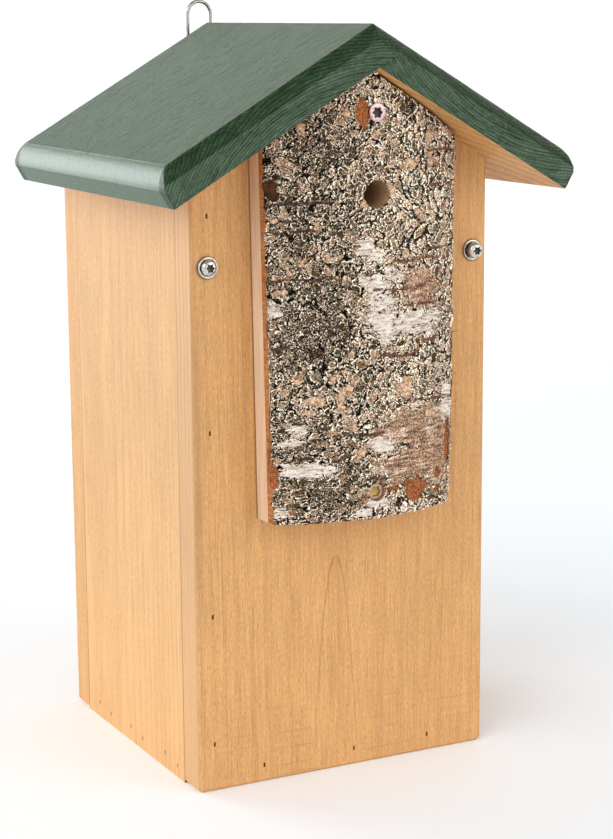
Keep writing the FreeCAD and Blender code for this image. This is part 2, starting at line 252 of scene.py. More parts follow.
class Paint(Graph):
    """Node tree of one procedural material."""

    def __init__(self, name: str) -> None:
        """Makes the material with only its shader and output.

        Args:
            name: Name of the material.
        """
        self.material = bpy.data.materials.new(name)
        self.material.use_nodes = True
        super().__init__(self.material.node_tree)
        self.tree.nodes.clear()
        self.shader = self.tree.nodes.new("ShaderNodeBsdfPrincipled")
        output = self.tree.nodes.new("ShaderNodeOutputMaterial")
        self.tree.links.new(self.shader.outputs[0], output.inputs[0])

    def axes(self) -> tuple[Signal, Signal, Signal]:
        """The three object coordinates, in millimetres.

        Returns:
            The coordinates along X, Y and Z.
        """
        place = self.node("ShaderNodeTexCoord", {}, {}, "Object")
        split = self.node("ShaderNodeSeparateXYZ", {}, {0: place}).socket.node
        return tuple(Signal(self, out) * (1.0 / MM) for out in split.outputs)

    def vector(self, x: Any, y: Any, z: Any) -> Signal:
        """Vector of three values."""
        return self.node("ShaderNodeCombineXYZ", {}, {0: x, 1: y, 2: z})

    def noise(self, place: Signal, scale: float = 1.0, detail: float = 3.0, rough: float = 0.55) -> Signal:
        """Fractal noise of about 0 to 1, with its middle at a half."""
        inputs = {"Vector": place, "Scale": scale, "Detail": detail, "Roughness": rough}
        return self.node("ShaderNodeTexNoise", {}, inputs)

    def drawn(self, run: Sequence[Signal], long: float, short: float, detail: float = 2.0,
              rough: float = 0.55) -> Signal:
        """Noise drawn out along the first of three axes: one scale along it, another along the other two."""
        return self.noise(self.vector(run[0] * long, run[1] * short, run[2] * short), 1.0, detail, rough)

    def mix(self, share: Any, first: Any, second: Any, blend: str = "MIX") -> Signal:
        """Blend of a first colour and the share of a second one that shows."""
        settings = {"data_type": "RGBA", "blend_type": blend, "clamp_factor": True}
        return self.node("ShaderNodeMix", settings, {0: share, 6: first, 7: second}, 2)

    def coats(self, tone: Signal, *coats: tuple[Signal, Any]) -> Signal:
        """Colours laid over a tone one after the other, each with the share that shows.

        Args:
            tone: Colour underneath.
            coats: Share and colour of each coat.

        Returns:
            The covered colour.
        """
        for share, colour in coats:
            tone = self.mix(share, tone, colour)
        return tone

    def lit(self, colour: Signal, amount: Any) -> Signal:
        """Colour times a grey amount."""
        return self.mix(1.0, colour, self.vector(amount, amount, amount), "MULTIPLY")

    def attribute(self, name: str) -> Signal:
        """The piece's own number of that name."""
        return self.node("ShaderNodeAttribute", {"attribute_name": name}, {}, "Fac")

    def bump(self, height: Signal, strength: float, distance: float) -> Signal:
        """Normal raised by a height, the distance in millimetres."""
        inputs = {"Strength": strength, "Distance": distance * MM, "Height": height}
        return self.node("ShaderNodeBump", {}, inputs)

    def done(self, **sockets: Any) -> Material:
        """Feeds the shader's sockets, named with _ for a space, and gives the material.

        Args:
            sockets: Values or signals by socket.

        Returns:
            The finished material.
        """
        for name, value in sockets.items():
            self.feed(self.shader.inputs[name.replace("_", " ")], value)
        return self.material


# Finishes


class GrainRun(Enum):
    """Way that a board's grain runs: its along, across and deep axes."""

    FRONT = (2, 0, 1)
    SIDE = (2, 1, 0)
    LEVEL = (1, 0, 2)
    SLOPE = (0, 1, 2)


@dataclass(frozen=True)
class BoardWood:
    """Oiled softwood: growth rings about a pith line, fibres, pores, slow drift, painted shadow along the
    joints, and a darker top that is partly stain and partly painted shade under the eaves.
    """

    name: str
    run: GrainRun
    pith: Pair
    lean: float
    early: Colour
    late: Colour
    ring: float = 3.4
    shift: float = 0.0
    rings_show: float = 0.35
    joint: float = 66.0
    # Lightening towards the bottom, which leaves the top under the eaves darker: partly stain, partly painted
    # shade.
    eave_shade_and_stain: float = 0.05
    bold: float = 1.0
    brown: Colour = (0.58, 0.33, 0.13)
    # Colour of the painted shadow along the joints, where the boards meet without a gap.
    joint_shadow: Colour = (0.18, 0.085, 0.032)

    def material(self) -> Material:
        """Makes the material; a ring is the fraction of the pith line's distance over the width of a ring.

        Returns:
            The material.
        """
        p = Paint(self.name)
        place = p.axes()
        along, across, deep = (place[k] for k in self.run.value)
        along = along + self.shift
        run = along, across, deep
        wander = p.drawn(run, 0.006, 0.018) - 0.5
        a = across - self.pith[0] + wander * 5.0
        d = deep * 0.6 - self.pith[1] + along * self.lean + wander * 3.0
        fine = p.drawn(run, 0.02, 0.3) - 0.5
        phase = ((a.hypot(d) + fine * 0.8) / self.ring).fract()
        ring = phase.ramp(0.35, 0.93) * phase.ramp(1.0, 0.95)
        fibre = p.drawn(run, 0.018, 0.75, 5.0, 0.72)
        vein = p.noise(p.vector(along * 0.012, across * 1.3, deep * 1.3 + 40.0), 1.0, 2.0).ramp(0.60, 0.72)
        pore = p.drawn(run, 0.16, 1.7).ramp(0.62, 0.74)
        grain = p.drawn(run, 0.40, 1.5, 3.0, 0.75)
        hair = p.drawn(run, 0.05, 1.05, 2.0, 0.6)
        drift = p.drawn(run, 0.006, 0.03, 3.0)
        blotch = p.drawn(run, 0.02, 0.05, 4.0)
        tone = p.mix((ring * self.rings_show + fibre.ramp(0.40, 0.64) * 0.55) * 0.75, self.early, self.late)
        aged = tuple((a + b) / 2.0 for a, b in zip(self.late, self.brown))
        tone = p.mix(drift.ramp(0.38, 0.66) * 0.45, tone, aged)
        tone = p.lit(tone, 1.04 + (blotch - 0.5) * 0.24 + (fibre - 0.5) * 0.20 - vein * 0.10
                     + (grain - 0.5 + (hair - 0.5) * 0.5 - pore * 0.18) * self.bold
                     # Lighter towards the bottom: the darker top is partly stain, partly painted shade under
                     # the eaves.
                     + place[2].ramp(200.0, 20.0) * self.eave_shade_and_stain)
        tone = self.marks(p, tone, place, wander * 3.0 + fine * 1.6)
        # Painted shadow in the joints between boards, stronger towards the bottom.
        joint_shadow = abs(abs(place[1]) - self.joint).ramp(0.6, 0.1)
        tone = p.mix(joint_shadow * place[2].ramp(260.0, 60.0, 0.35, 0.85), tone, self.joint_shadow)
        relief = fibre * 0.8 + ring * 0.5 - pore * 0.5 - vein * 0.4
        return p.done(Base_Color=tone, Roughness=0.5 + fibre * 0.14, Normal=p.bump(relief, 0.40, 0.30),
                      Specular_IOR_Level=0.35)

    def marks(self, p: Paint, tone: Signal, place: Sequence[Signal], sway: Signal) -> Signal:
        """Marks of this board alone, of which a plain one has none."""
        return tone


@dataclass(frozen=True)
class FrontWood(BoardWood):
    """The front board's wood: a pointed ring, painted shadow round the washers and beside the slab, a darker
    band along the left edge, saw scratches and paler edges.
    """

    tip: Pair = (-5.3, 114.6)
    spread: float = 1.55
    screw: Pair = (75.5, 268.0)
    washer_r: float = 5.25
    slab_foot: Pair = (-49.25, 140.0)
    slab_lean: float = 0.0143
    edge_x: float = 84.0
    ends: Tones = ((0.60, 0.365, 0.180), (0.44, 0.225, 0.090))

    def marks(self, p: Paint, tone: Signal, place: Sequence[Signal], sway: Signal) -> Signal:
        """Adds the marks; the pointed ring is a parabola that opens downwards.

        Args:
            p: Material in the making.
            tone: Colour of the bare board.
            place: Places across, deep and up.
            sway: Slow wandering of the grain.

        Returns:
            The marked colour.
        """
        x, y, z = place
        drop = self.tip[1] - z
        wing = abs(abs(x - self.tip[0] + sway) - (drop.most(0.0) * self.spread) ** 0.5)
        line = wing.ramp(0.7, 0.15) * drop.ramp(-0.5, 0.5) * drop.ramp(14.0, 2.0, 0.38, 0.72)
        # Painted shadow: a dark ring just outside each washer.
        grime = (abs(x) - self.screw[0]).hypot(z - self.screw[1])
        grime = grime.ramp(self.washer_r + 1.2, self.washer_r + 0.2)
        # Painted shadow: a thin dark line just outside the slab's left edge.
        up = z - self.slab_foot[1]
        gap = self.slab_foot[0] - up * self.slab_lean - x
        slab_shadow = gap.ramp(1.2, 0.4) * gap.ramp(-1.0, -0.5) * up.ramp(-0.5, 0.5)
        scratch = p.noise(p.vector(x * 0.025 + 9.0, 0.0, z * 0.75), 1.0, 2.0).ramp(0.60, 0.68)
        # A darker band along the left edge, from about 140 to 220 mm up.
        left_edge_band = x.ramp(-75.0, -83.0) * z.ramp(300.0, 220.0) * z.ramp(60.0, 140.0)
        rings = (y * 1.5 + sway * 1.5).wave().ramp(0.5, 1.0) * z.ramp(120.0, 260.0, 0.25, 0.7)
        return p.coats(
            tone,
            (line * drop.ramp(130.0, 40.0), (0.30, 0.125, 0.040)),
            (grime * 0.65, (0.13, 0.062, 0.026)),
            (slab_shadow * 0.75, (0.15, 0.066, 0.024)),
            (scratch * z.ramp(62.0, 25.0) * 0.22, (0.22, 0.11, 0.045)),
            (left_edge_band * 0.30, (0.27, 0.145, 0.062)),
            (abs(x).ramp(self.edge_x - 0.9, self.edge_x - 0.1) * 0.55, p.mix(rings, *self.ends)),
        )


@dataclass(frozen=True)
class RoofPaint:
    """Satin green paint, brushed along the board over rough grain, and worn to bare wood at the foot."""

    name: str
    side: int
    ridge: float
    pitch: float
    thick: float
    slope: float
    # Colour multiplier; the moulded verges' copy is darker, as painted shade.
    depth: float = 1.0
    gloss: float = 0.5
    lined: float = 0.82
    pith: Pair = (60.0, -110.0)
    greens: Tones = ((0.016, 0.048, 0.014), (0.050, 0.112, 0.045))
    stroke: Colour = (0.004, 0.015, 0.004)
    line: Colour = (0.003, 0.014, 0.005)
    spot: Colour = (0.006, 0.013, 0.008)
    bare: Colour = (0.50, 0.36, 0.20)

    def material(self) -> Material:
        """Makes the material; strokes are level lines of bent noise, rings a sine of the pith's distance.

        Returns:
            The material.
        """
        p = Paint(self.name)
        x, y, z = p.axes()
        sin, cos = math.sin(self.pitch), math.cos(self.pitch)
        down = x * (self.side * cos) - (z - self.ridge) * sin
        out = x * (self.side * sin) + (z - self.ridge) * cos
        bend = p.noise(p.vector(down * 0.03, y * 0.03, out * 0.05), 1.0, 3.0)
        swirl = p.noise(p.vector(down * 0.08 + bend * 5.0, y * 0.35 + bend * 7.0, out * 0.4), 1.0, 6.0, 0.75)
        sweep = p.noise(p.vector(down * 0.045 + bend * 4.0, y * 0.11 + bend * 3.0, 0.0), 1.0, 1.0)
        stroke = (sweep * 34.0).sine().ramp(0.45, 1.0) * swirl.ramp(0.35, 0.6)
        patchy = p.noise(p.vector(down * 0.12, y * 0.2, out * 0.7 + bend * 2.0), 1.0, 4.0, 0.65)
        away = (down - self.pith[0]).hypot(out - self.pith[1])
        lines = (away * 4.2 + bend * 16.0 + patchy * 2.0).wave()
        spot = p.noise(p.vector(down * 0.45, y * 0.45, out * 0.45), 1.0, 2.0).ramp(0.66, 0.72)
        fleck = p.noise(p.vector(down * 0.8, y, out), 1.0, 3.0, 0.7).ramp(0.35, 0.65, 0.65, 1.35)
        sawn = p.attribute("sawn")
        green = p.coats(
            p.mix(swirl.ramp(0.32, 0.68), *self.greens),
            (stroke * (1.0 - sawn) * 0.55, self.stroke),
            (lines.ramp(0.35, 0.85) * patchy.ramp(0.26, 0.46) * sawn * self.lined, self.line),
            (spot * 0.7, self.spot),
            ((out + bend * 0.8).ramp(0.55 - self.thick, 0.15 - self.thick) * 0.7, self.bare),
        )
        hair = p.noise(p.vector(down * 0.22 + bend * 9.0, y * 0.75 + bend * 14.0, out * 0.75), 1.0, 3.0, 0.6)
        brush = p.noise(p.vector(down * 1.1, y * 0.03, out * 1.1), 1.0, 2.0)
        eave = down.ramp(self.slope - 9.6, self.slope - 8.8)
        rough = swirl * 0.8 + hair * 1.3 - stroke * 0.9 - lines * patchy * sawn * 0.8
        relief = rough * (1.0 - eave) + brush * eave * 0.25
        return p.done(Base_Color=p.lit(green, fleck * self.depth), Roughness=0.30 + swirl * 0.16,
                      Normal=p.bump(relief, 0.65, 0.60), Specular_IOR_Level=self.gloss)


@dataclass(frozen=True)
class SlabWood:
    """Pale sawn birch; the starter hole's bore is a darker brown, partly the burnished wood's own colour and
    partly painted shade inside the hole.
    """

    name: str
    hole: Pair
    hole_r: float
    pale: Tones = ((0.74, 0.53, 0.365), (0.60, 0.395, 0.25))
    wall: Tones = ((0.50, 0.315, 0.170), (0.29, 0.17, 0.088))

    def material(self) -> Material:
        """Makes the material; the bore's rings follow its depth.

        Returns:
            The material.
        """
        p = Paint(self.name)
        x, y, z = p.axes()
        fibre = p.noise(p.vector(x * 0.9, y * 0.9, z * 0.03), 1.0, 4.0, 0.6)
        slow = p.noise(p.vector(x * 0.05, y * 0.08, z * 0.02), 1.0, 3.0)
        tone = p.lit(p.mix(fibre.ramp(0.35, 0.68), *self.pale), 0.9 + slow * 0.22)
        # The bore is darker brown with turning rings: partly the wood's colour, partly painted shade inside
        # the hole.
        bored = (x - self.hole[0]).hypot(z - self.hole[1]).ramp(self.hole_r + 0.5, self.hole_r + 0.2)
        turns = (y * 2.4 + slow * 8.0).wave() * 0.6
        return p.done(Base_Color=p.mix(bored, tone, p.mix(turns, *self.wall)), Roughness=0.62 + fibre * 0.1,
                      Normal=p.bump(fibre + turns * bored, 0.3, 0.2), Specular_IOR_Level=0.25)


@dataclass(frozen=True)
class BirchBark:
    """Old birch bark: dark fissures, chipped plates whose bright rims are partly painted highlight, white
    skin, tan flakes with painted shade at their edges, torn rust and lenticels.
    """

    name: str
    olive: Tones = ((0.088, 0.069, 0.037), (0.145, 0.096, 0.053))
    cream: Tones = ((0.478, 0.350, 0.246), (0.40, 0.240, 0.149))
    bleached: Colour = (0.74, 0.64, 0.525)
    # Bright rims of the plates: partly pale curled bark, partly painted highlight.
    rim: Colour = (1.0, 0.89, 0.745)
    tan: Colour = (0.60, 0.38, 0.25)
    ground: Tones = ((0.029, 0.022, 0.011), (0.125, 0.095, 0.051))
    crumb: Colour = (0.50, 0.38, 0.265)
    curl: Colour = (0.86, 0.76, 0.63)
    contrast: float = 1.27
    soil: Tones = ((0.115, 0.062, 0.036), (0.55, 0.325, 0.20))
    dust: Colour = (0.74, 0.58, 0.45)
    skin: Tones = ((0.85, 0.755, 0.67), (0.45, 0.335, 0.245))
    flake: Tones = ((0.72, 0.485, 0.325), (0.35, 0.20, 0.118))
    rust: Tones = ((0.47, 0.168, 0.060), (0.15, 0.044, 0.014))
    burnt: Tones = ((0.016, 0.009, 0.005), (0.085, 0.034, 0.014))
    scar: Tones = ((0.065, 0.032, 0.024), (0.155, 0.052, 0.033))
    inner: Tones = ((0.50, 0.210, 0.075), (0.30, 0.115, 0.040))
    bore: Tones = ((0.42, 0.26, 0.145), (0.26, 0.155, 0.080))

    def material(self) -> Material:
        """Makes the material from the layers that the bark's own attributes hold, with grit on the plates.

        Returns:
            The material.
        """
        p = Paint(self.name)
        x, y, z = p.axes()
        place = p.vector(x, y, z)
        grit, fleck = p.noise(place, 1.3, 4.0, 0.7), p.noise(place, 2.6, 3.0, 0.7)
        wear, slow = p.noise(place, 0.55, 3.0, 0.65), p.noise(place, 0.09, 3.0)
        streak = p.noise(p.vector(x * 0.13, y * 0.13, z * 0.95), 1.0, 5.0, 0.7)
        speck = (grit * 0.75 + fleck * 0.25).ramp(0.40, 0.60, 0.10, 1.68)
        tint, edge, lifted = (p.attribute(k) for k in ("tint", "edge", "flake"))
        white = p.attribute("white").ramp(-0.02, 0.08)
        shade = p.attribute("shade") - 0.5
        light = tint * 1.5 + shade * 0.7 + (grit - 0.5) * 1.2 - x.ramp(15.0, -15.0, 0.04, 0.20)
        brown = slow.ramp(0.42, 0.60)
        bleached = (tint * 3.0).fract().ramp(0.40, 0.60) * shade.ramp(-0.10, 0.18)
        cream = p.mix(bleached * 0.75, p.mix(brown * 0.7, *self.cream), self.bleached)
        # Bright rims round the plates: partly the curled bark's pale edges, partly painted highlight.
        rim = edge.ramp(0.04, 0.11) * edge.ramp(0.34, 0.16)
        rim = rim * (grit + tint * 0.3 + shade * 0.4).ramp(0.45, 0.59)
        plate = p.coats(
            p.mix(brown, *self.olive),
            (light.ramp(0.42, 1.05), cream),
            (rim, self.rim),
            ((tint * 7.0).fract().ramp(0.86, 0.92) * 0.45, self.tan),
        )
        curl = abs(wear - 0.5).ramp(0.045, 0.015) * grit.ramp(0.42, 0.56)
        ground = p.coats(
            p.mix(fleck.ramp(0.40, 0.66), *self.ground),
            ((fleck * 0.4 + grit * 0.6).ramp(0.52, 0.58) * 0.55, self.crumb),
            (curl * 0.9, self.curl),
        )
        tone = p.mix(p.attribute("plate").ramp(0.0, 0.12), ground, plate)
        tone = p.lit(tone, (x.ramp(-10.0, 25.0, 0.02, 0.20) + edge.ramp(0.04, 0.15) * 0.96) * speck)
        tone = p.node("ShaderNodeGamma", {}, {"Color": tone, "Gamma": self.contrast})
        tone = p.lit(tone, x.ramp(-45.0, -10.0, 0.96, 1.02) * x.ramp(-5.0, 45.0, 1.0, 0.82))
        soil = p.mix((streak * 0.6 + grit * 0.4).ramp(0.40, 0.62), *self.soil)
        soil = p.mix((streak * 0.4 + slow * 0.6).ramp(0.52, 0.60) * 0.7, soil, self.dust)
        flake = p.mix(wear.ramp(0.42, 0.64), *self.flake)
        # Each flake darkens towards its edge: painted shade round the lifted flake.
        flake = p.lit(flake, (0.45 + speck * 0.55) * lifted.ramp(0.0, 0.30, 0.55, 1.08))
        rust = p.mix(grit.ramp(0.43, 0.57), *self.rust)
        rust = p.mix(p.attribute("burn"), rust, p.mix(fleck.ramp(0.4, 0.6), *self.burnt))
        tone = p.coats(
            tone,
            (p.attribute("soil").ramp(-0.30, 0.35) * (0.62 + grit * 0.5), p.lit(soil, 0.32 + speck * 0.80)),
            (white, p.lit(p.mix(streak.ramp(0.44, 0.63), *self.skin), 0.68 + speck * 0.24)),
            (lifted.ramp(0.02, 0.12) * wear.ramp(0.68, 0.50, 0.35, 0.95), flake),
            (p.attribute("torn").ramp(0.0, 0.10), rust),
            (p.attribute("lenticel").ramp(0.15, 0.5) * 0.85, p.mix(x.ramp(-5.0, 15.0), *self.scar)),
            (p.attribute("cut").ramp(0.02, 0.16), p.mix(streak.ramp(0.40, 0.62), *self.inner)),
            (p.attribute("bore").ramp(0.4, 0.6), p.mix(streak.ramp(0.35, 0.65), *self.bore)),
        )
        return p.done(Base_Color=tone, Roughness=0.84 - white * 0.15, Specular_IOR_Level=0.08,
                      Normal=p.bump(grit * 0.8 + fleck * 0.4, 0.6, 0.30))


@dataclass(frozen=True)
class Steel:
    """Bright or dulled steel with fine turning marks, a little grime, and painted shade in the head's recess
    and the washer's inner ring, or an aged head.
    """

    name: str
    bright: Colour
    dull: Colour
    rough: float
    # Painted shade for the parts marked deep: the head's recess and the washer's inner ring.
    recess: Colour = (0.035, 0.030, 0.022)
    aged: Tones = ((0.46, 0.30, 0.21), (0.40, 0.28, 0.08))

    def material(self) -> Material:
        """Makes the material.

        Returns:
            The material.
        """
        p = Paint(self.name)
        place = p.vector(*p.axes())
        grime = p.noise(place, 0.6, 4.0, 0.6).ramp(0.45, 0.7)
        scratch = p.noise(place, 5.0, 3.0, 0.7)
        # Where marked deep, the colour turns to painted shade.
        deep = p.attribute("deep")
        tone = p.coats(p.mix(grime, self.bright, self.dull), (deep * 0.97, self.recess),
                       (p.attribute("aged"), p.mix(deep, *self.aged)))
        return p.done(Base_Color=tone, Metallic=1.0, Roughness=self.rough + grime * 0.16 + scratch * 0.08,
                      Normal=p.bump(scratch, 0.12, 0.08))


@dataclass(frozen=True)
class StudioFloor:
    """Pale matt studio floor, which glows far off, where it meets the white surroundings."""

    name: str
    pale: Tones = ((0.922, 0.949, 0.976), (0.934, 0.961, 0.986))
    glow: float = 0.14
    glow_from: Pair = (800.0, 2400.0)

    def material(self) -> Material:
        """Makes the material, with a faint unevenness.

        Returns:
            The material.
        """
        p = Paint(self.name)
        x, y, z = p.axes()
        tone = p.mix(p.noise(p.vector(x, y, z), 0.004, 2.0), *self.pale)
        far = p.mix(x.hypot(y).ramp(*self.glow_from), (0.0, 0.0, 0.0), (1.0, 1.0, 1.0))
        return p.done(Base_Color=tone, Roughness=0.9, Specular_IOR_Level=0.1, Emission_Strength=self.glow,
                      Emission_Color=far)


# Meshes


def stood(name: str, data: bpy.types.ID) -> bpy.types.Object:
    """New object of some data, in the scene.

    Args:
        name: Name of the object.
        data: Its mesh, light or camera.

    Returns:
        The object, at the origin.
    """
    obj = bpy.data.objects.new(name, data)
    bpy.context.scene.collection.objects.link(obj)
    return obj


def dressed(node: str, material: Material) -> None:
    """Gives a kept CAD node its one material.

    Args:
        node: Name of the node.
        material: What it shows.
    """
    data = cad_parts[node].data
    data.materials.clear()
    data.materials.append(material)
    log.info("%s dressed in %s", node, material.name)


@dataclass
class Shell:
    """Points and faces of one piece, in millimetres, gathered patch by patch."""

    points: list[Array] = field(default_factory=list)
    faces: list[Array] = field(default_factory=list)
    slots: list[Array] = field(default_factory=list)
    count: int = 0

    def add(self, points: Array) -> Array:
        """Adds points of any grid shape, and gives their numbers in that shape.

        Args:
            points: Grid of points.

        Returns:
            Grid of point numbers.
        """
        flat = points.reshape(-1, 3)
        ids = np.arange(self.count, self.count + len(flat)).reshape(points.shape[:-1])
        self.points.append(flat)
        self.count += len(flat)
        return ids

    def put(self, faces: Array, slot: int = 0) -> None:
        """Adds faces of three or four point numbers each."""
        self.faces.append(faces)
        self.slots.append(np.full(len(faces), slot))

    def lattice(self, ids: Array, slot: int = 0, keep: Array | None = None) -> None:
        """Adds the quads of a grid of point numbers, or only those to keep, with a material slot."""
        quads = np.stack([ids[:-1, :-1], ids[:-1, 1:], ids[1:, 1:], ids[1:, :-1]], -1)
        self.put(quads.reshape(-1, 4) if keep is None else quads[keep], slot)

    def tube(self, grid: Array, slot: int = 0) -> None:
        """Adds a grid of points whose columns close on themselves."""
        ids = self.add(grid)
        self.lattice(np.concatenate([ids, ids[:, :1]], 1), slot)

    def rod(self, path: Array, radius: Array, sides: int) -> None:
        """Adds a round rod along a path in an upright plane, closed by a point at either end."""
        caps = [np.repeat(path[None, k], sides, 0)[None] for k in (0, -1)]
        self.tube(np.concatenate([caps[0], swept(path, radius, sides, np.array([0.0, 1.0, 0.0])), caps[1]]))

    def piece(self, name: str, materials: Sequence[Material], sharp: float = 40.0,
              numbers: Mapping[str, Array] | None = None, weld: float = 0.002) -> bpy.types.Object:
        """Makes the object: welds what coincides, turns faces outwards and shades smooth between sharp edges.

        Args:
            name: Name of the piece.
            materials: Its materials by slot.
            sharp: Angle between faces from which an edge is sharp, in degrees.
            numbers: Attributes of the points, by name.
            weld: Points nearer than this, in millimetres, become one.

        Returns:
            The new object, at the origin.
        """
        mesh = bpy.data.meshes.new(name)
        points = np.concatenate(self.points) * MM
        sizes = np.concatenate([np.full(len(f), f.shape[1]) for f in self.faces])
        corners = np.concatenate([f.reshape(-1) for f in self.faces])
        mesh.vertices.add(len(points))
        mesh.vertices.foreach_set("co", points.astype(np.float32).reshape(-1))
        mesh.loops.add(len(corners))
        mesh.loops.foreach_set("vertex_index", corners.astype(np.int32))
        mesh.polygons.add(len(sizes))
        mesh.polygons.foreach_set("loop_start", np.concatenate([[0], np.cumsum(sizes)[:-1]]).astype(np.int32))
        mesh.polygons.foreach_set("material_index", np.concatenate(self.slots).astype(np.int32))
        mesh.update(calc_edges=True)
        for key, values in (numbers or {}).items():
            mesh.attributes.new(key, "FLOAT", "POINT").data.foreach_set("value", values.astype(np.float32))
        bm = bmesh.new()
        bm.from_mesh(mesh)
        bmesh.ops.remove_doubles(bm, verts=bm.verts, dist=weld * MM)
        bmesh.ops.dissolve_degenerate(bm, edges=bm.edges, dist=weld * MM * 0.1)
        bmesh.ops.recalc_face_normals(bm, faces=bm.faces)
        bm.to_mesh(mesh)
        bm.free()
        mesh.shade_smooth()
        mesh.set_sharp_from_angle(angle=math.radians(sharp))
        for material in materials:
            mesh.materials.append(material)
        return stood(name, mesh)


def settle(obj: bpy.types.Object, body: str, slot: str, *nodes: str) -> None:
    """Rides a finished piece on a body and hides the nodes that it stands for.

    Args:
        obj: The piece.
        body: Body that it moves with.
        slot: Its finish in the record; not used.
        nodes: CAD nodes that it takes the place of.
    """
    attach(obj, body)
    if nodes:
        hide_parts(*nodes)
    log.info("%s rides on %s with %d faces", obj.name, body, len(obj.data.polygons))


def corners(node: str) -> tuple[Array, Array]:
    """Lowest and highest corner of a CAD node, in millimetres."""
    low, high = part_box(node)
    return np.array(low) / MM, np.array(high) / MM


def ridge_z() -> float:
    """Height of the roof's ridge."""
    return float(corners("roof_left")[1][2])


def front_y() -> float:
    """Place of the front board's face."""
    return float(corners("front_panel")[0][1])


def full_turn(steps: int) -> Array:
    """Angles once round, without the one that would repeat the first."""
    return np.linspace(0.0, 2.0 * math.pi, steps, endpoint=False)


def from_ends(count: int) -> Array:
    """Steps from the nearer end of a row."""
    steps = np.arange(count)
    return np.minimum(steps, steps[::-1])


def swept(path: Array, radius: Array, sides: int, level: Array) -> Array:
    """Round section carried along a path.

    Each section is the path's point plus radius times (level direction by cosine, side direction by sine),
    where the side direction is square to the path's run and the level direction.

    Args:
        path: Points along the middle, one row each.
        radius: Radius at each point.
        sides: Points round the section.
        level: Direction that stays square to the whole path.

    Returns:
        Grid of points, a row for each path point.
    """
    run = np.gradient(path, axis=0)
    run /= np.linalg.norm(run, axis=1, keepdims=True)
    level = np.broadcast_to(level / np.linalg.norm(level), run.shape)
    side = np.cross(run, level)
    turn = full_turn(sides)
    ring = np.cos(turn)[None, :, None] * level[:, None] + np.sin(turn)[None, :, None] * side[:, None]
    return path[:, None] + radius[:, None, None] * ring


# Sub-assemblies


@dataclass
class Carcass:
    """The boards and brads that the solids already show, dressed in their finishes."""

    honey: Tones = ((0.60, 0.328, 0.124), (0.45, 0.215, 0.074))
    peach: Tones = ((0.60, 0.345, 0.145), (0.45, 0.232, 0.089))
    # Brad steel, near black: partly the brads' dark tone, partly painted shade in their sunk holes.
    brads: Tones = ((0.115, 0.09, 0.07), (0.05, 0.035, 0.025))

    def woods(self) -> dict[str, BoardWood]:
        """Finish of each board.

        Returns:
            Finishes by node.
        """
        front, side, level = GrainRun.FRONT, GrainRun.SIDE, GrainRun.LEVEL
        return {
            "front_panel": FrontWood("front_board_wood", front, (-5.0, 62.0), 0.0068, *self.honey, bold=1.15),
            "back_panel": BoardWood("back_board_wood", front, (30.0, 90.0), -0.01, *self.honey, shift=310.0),
            "left_side": BoardWood("left_board_wood", side, (48.0, 40.0), 0.004, *self.peach, ring=4.2,
                                   shift=730.0, eave_shade_and_stain=0.16),
            "right_side_door": BoardWood("door_wood", side, (-20.0, -110.0), 0.006, *self.honey,
                                         shift=1210.0),
            "floor_board": BoardWood("floor_wood", level, (15.0, 70.0), 0.008, *self.honey, shift=520.0),
        }

    def dress(self) -> None:
        """Gives every board and every row of brads its material."""
        for node, wood in self.woods().items():
            dressed(node, wood.material())
        dull = Steel("brad_steel_and_shade", *self.brads, 0.5).material()
        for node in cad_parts:
            if node.endswith("_brads"):
                dressed(node, dull)


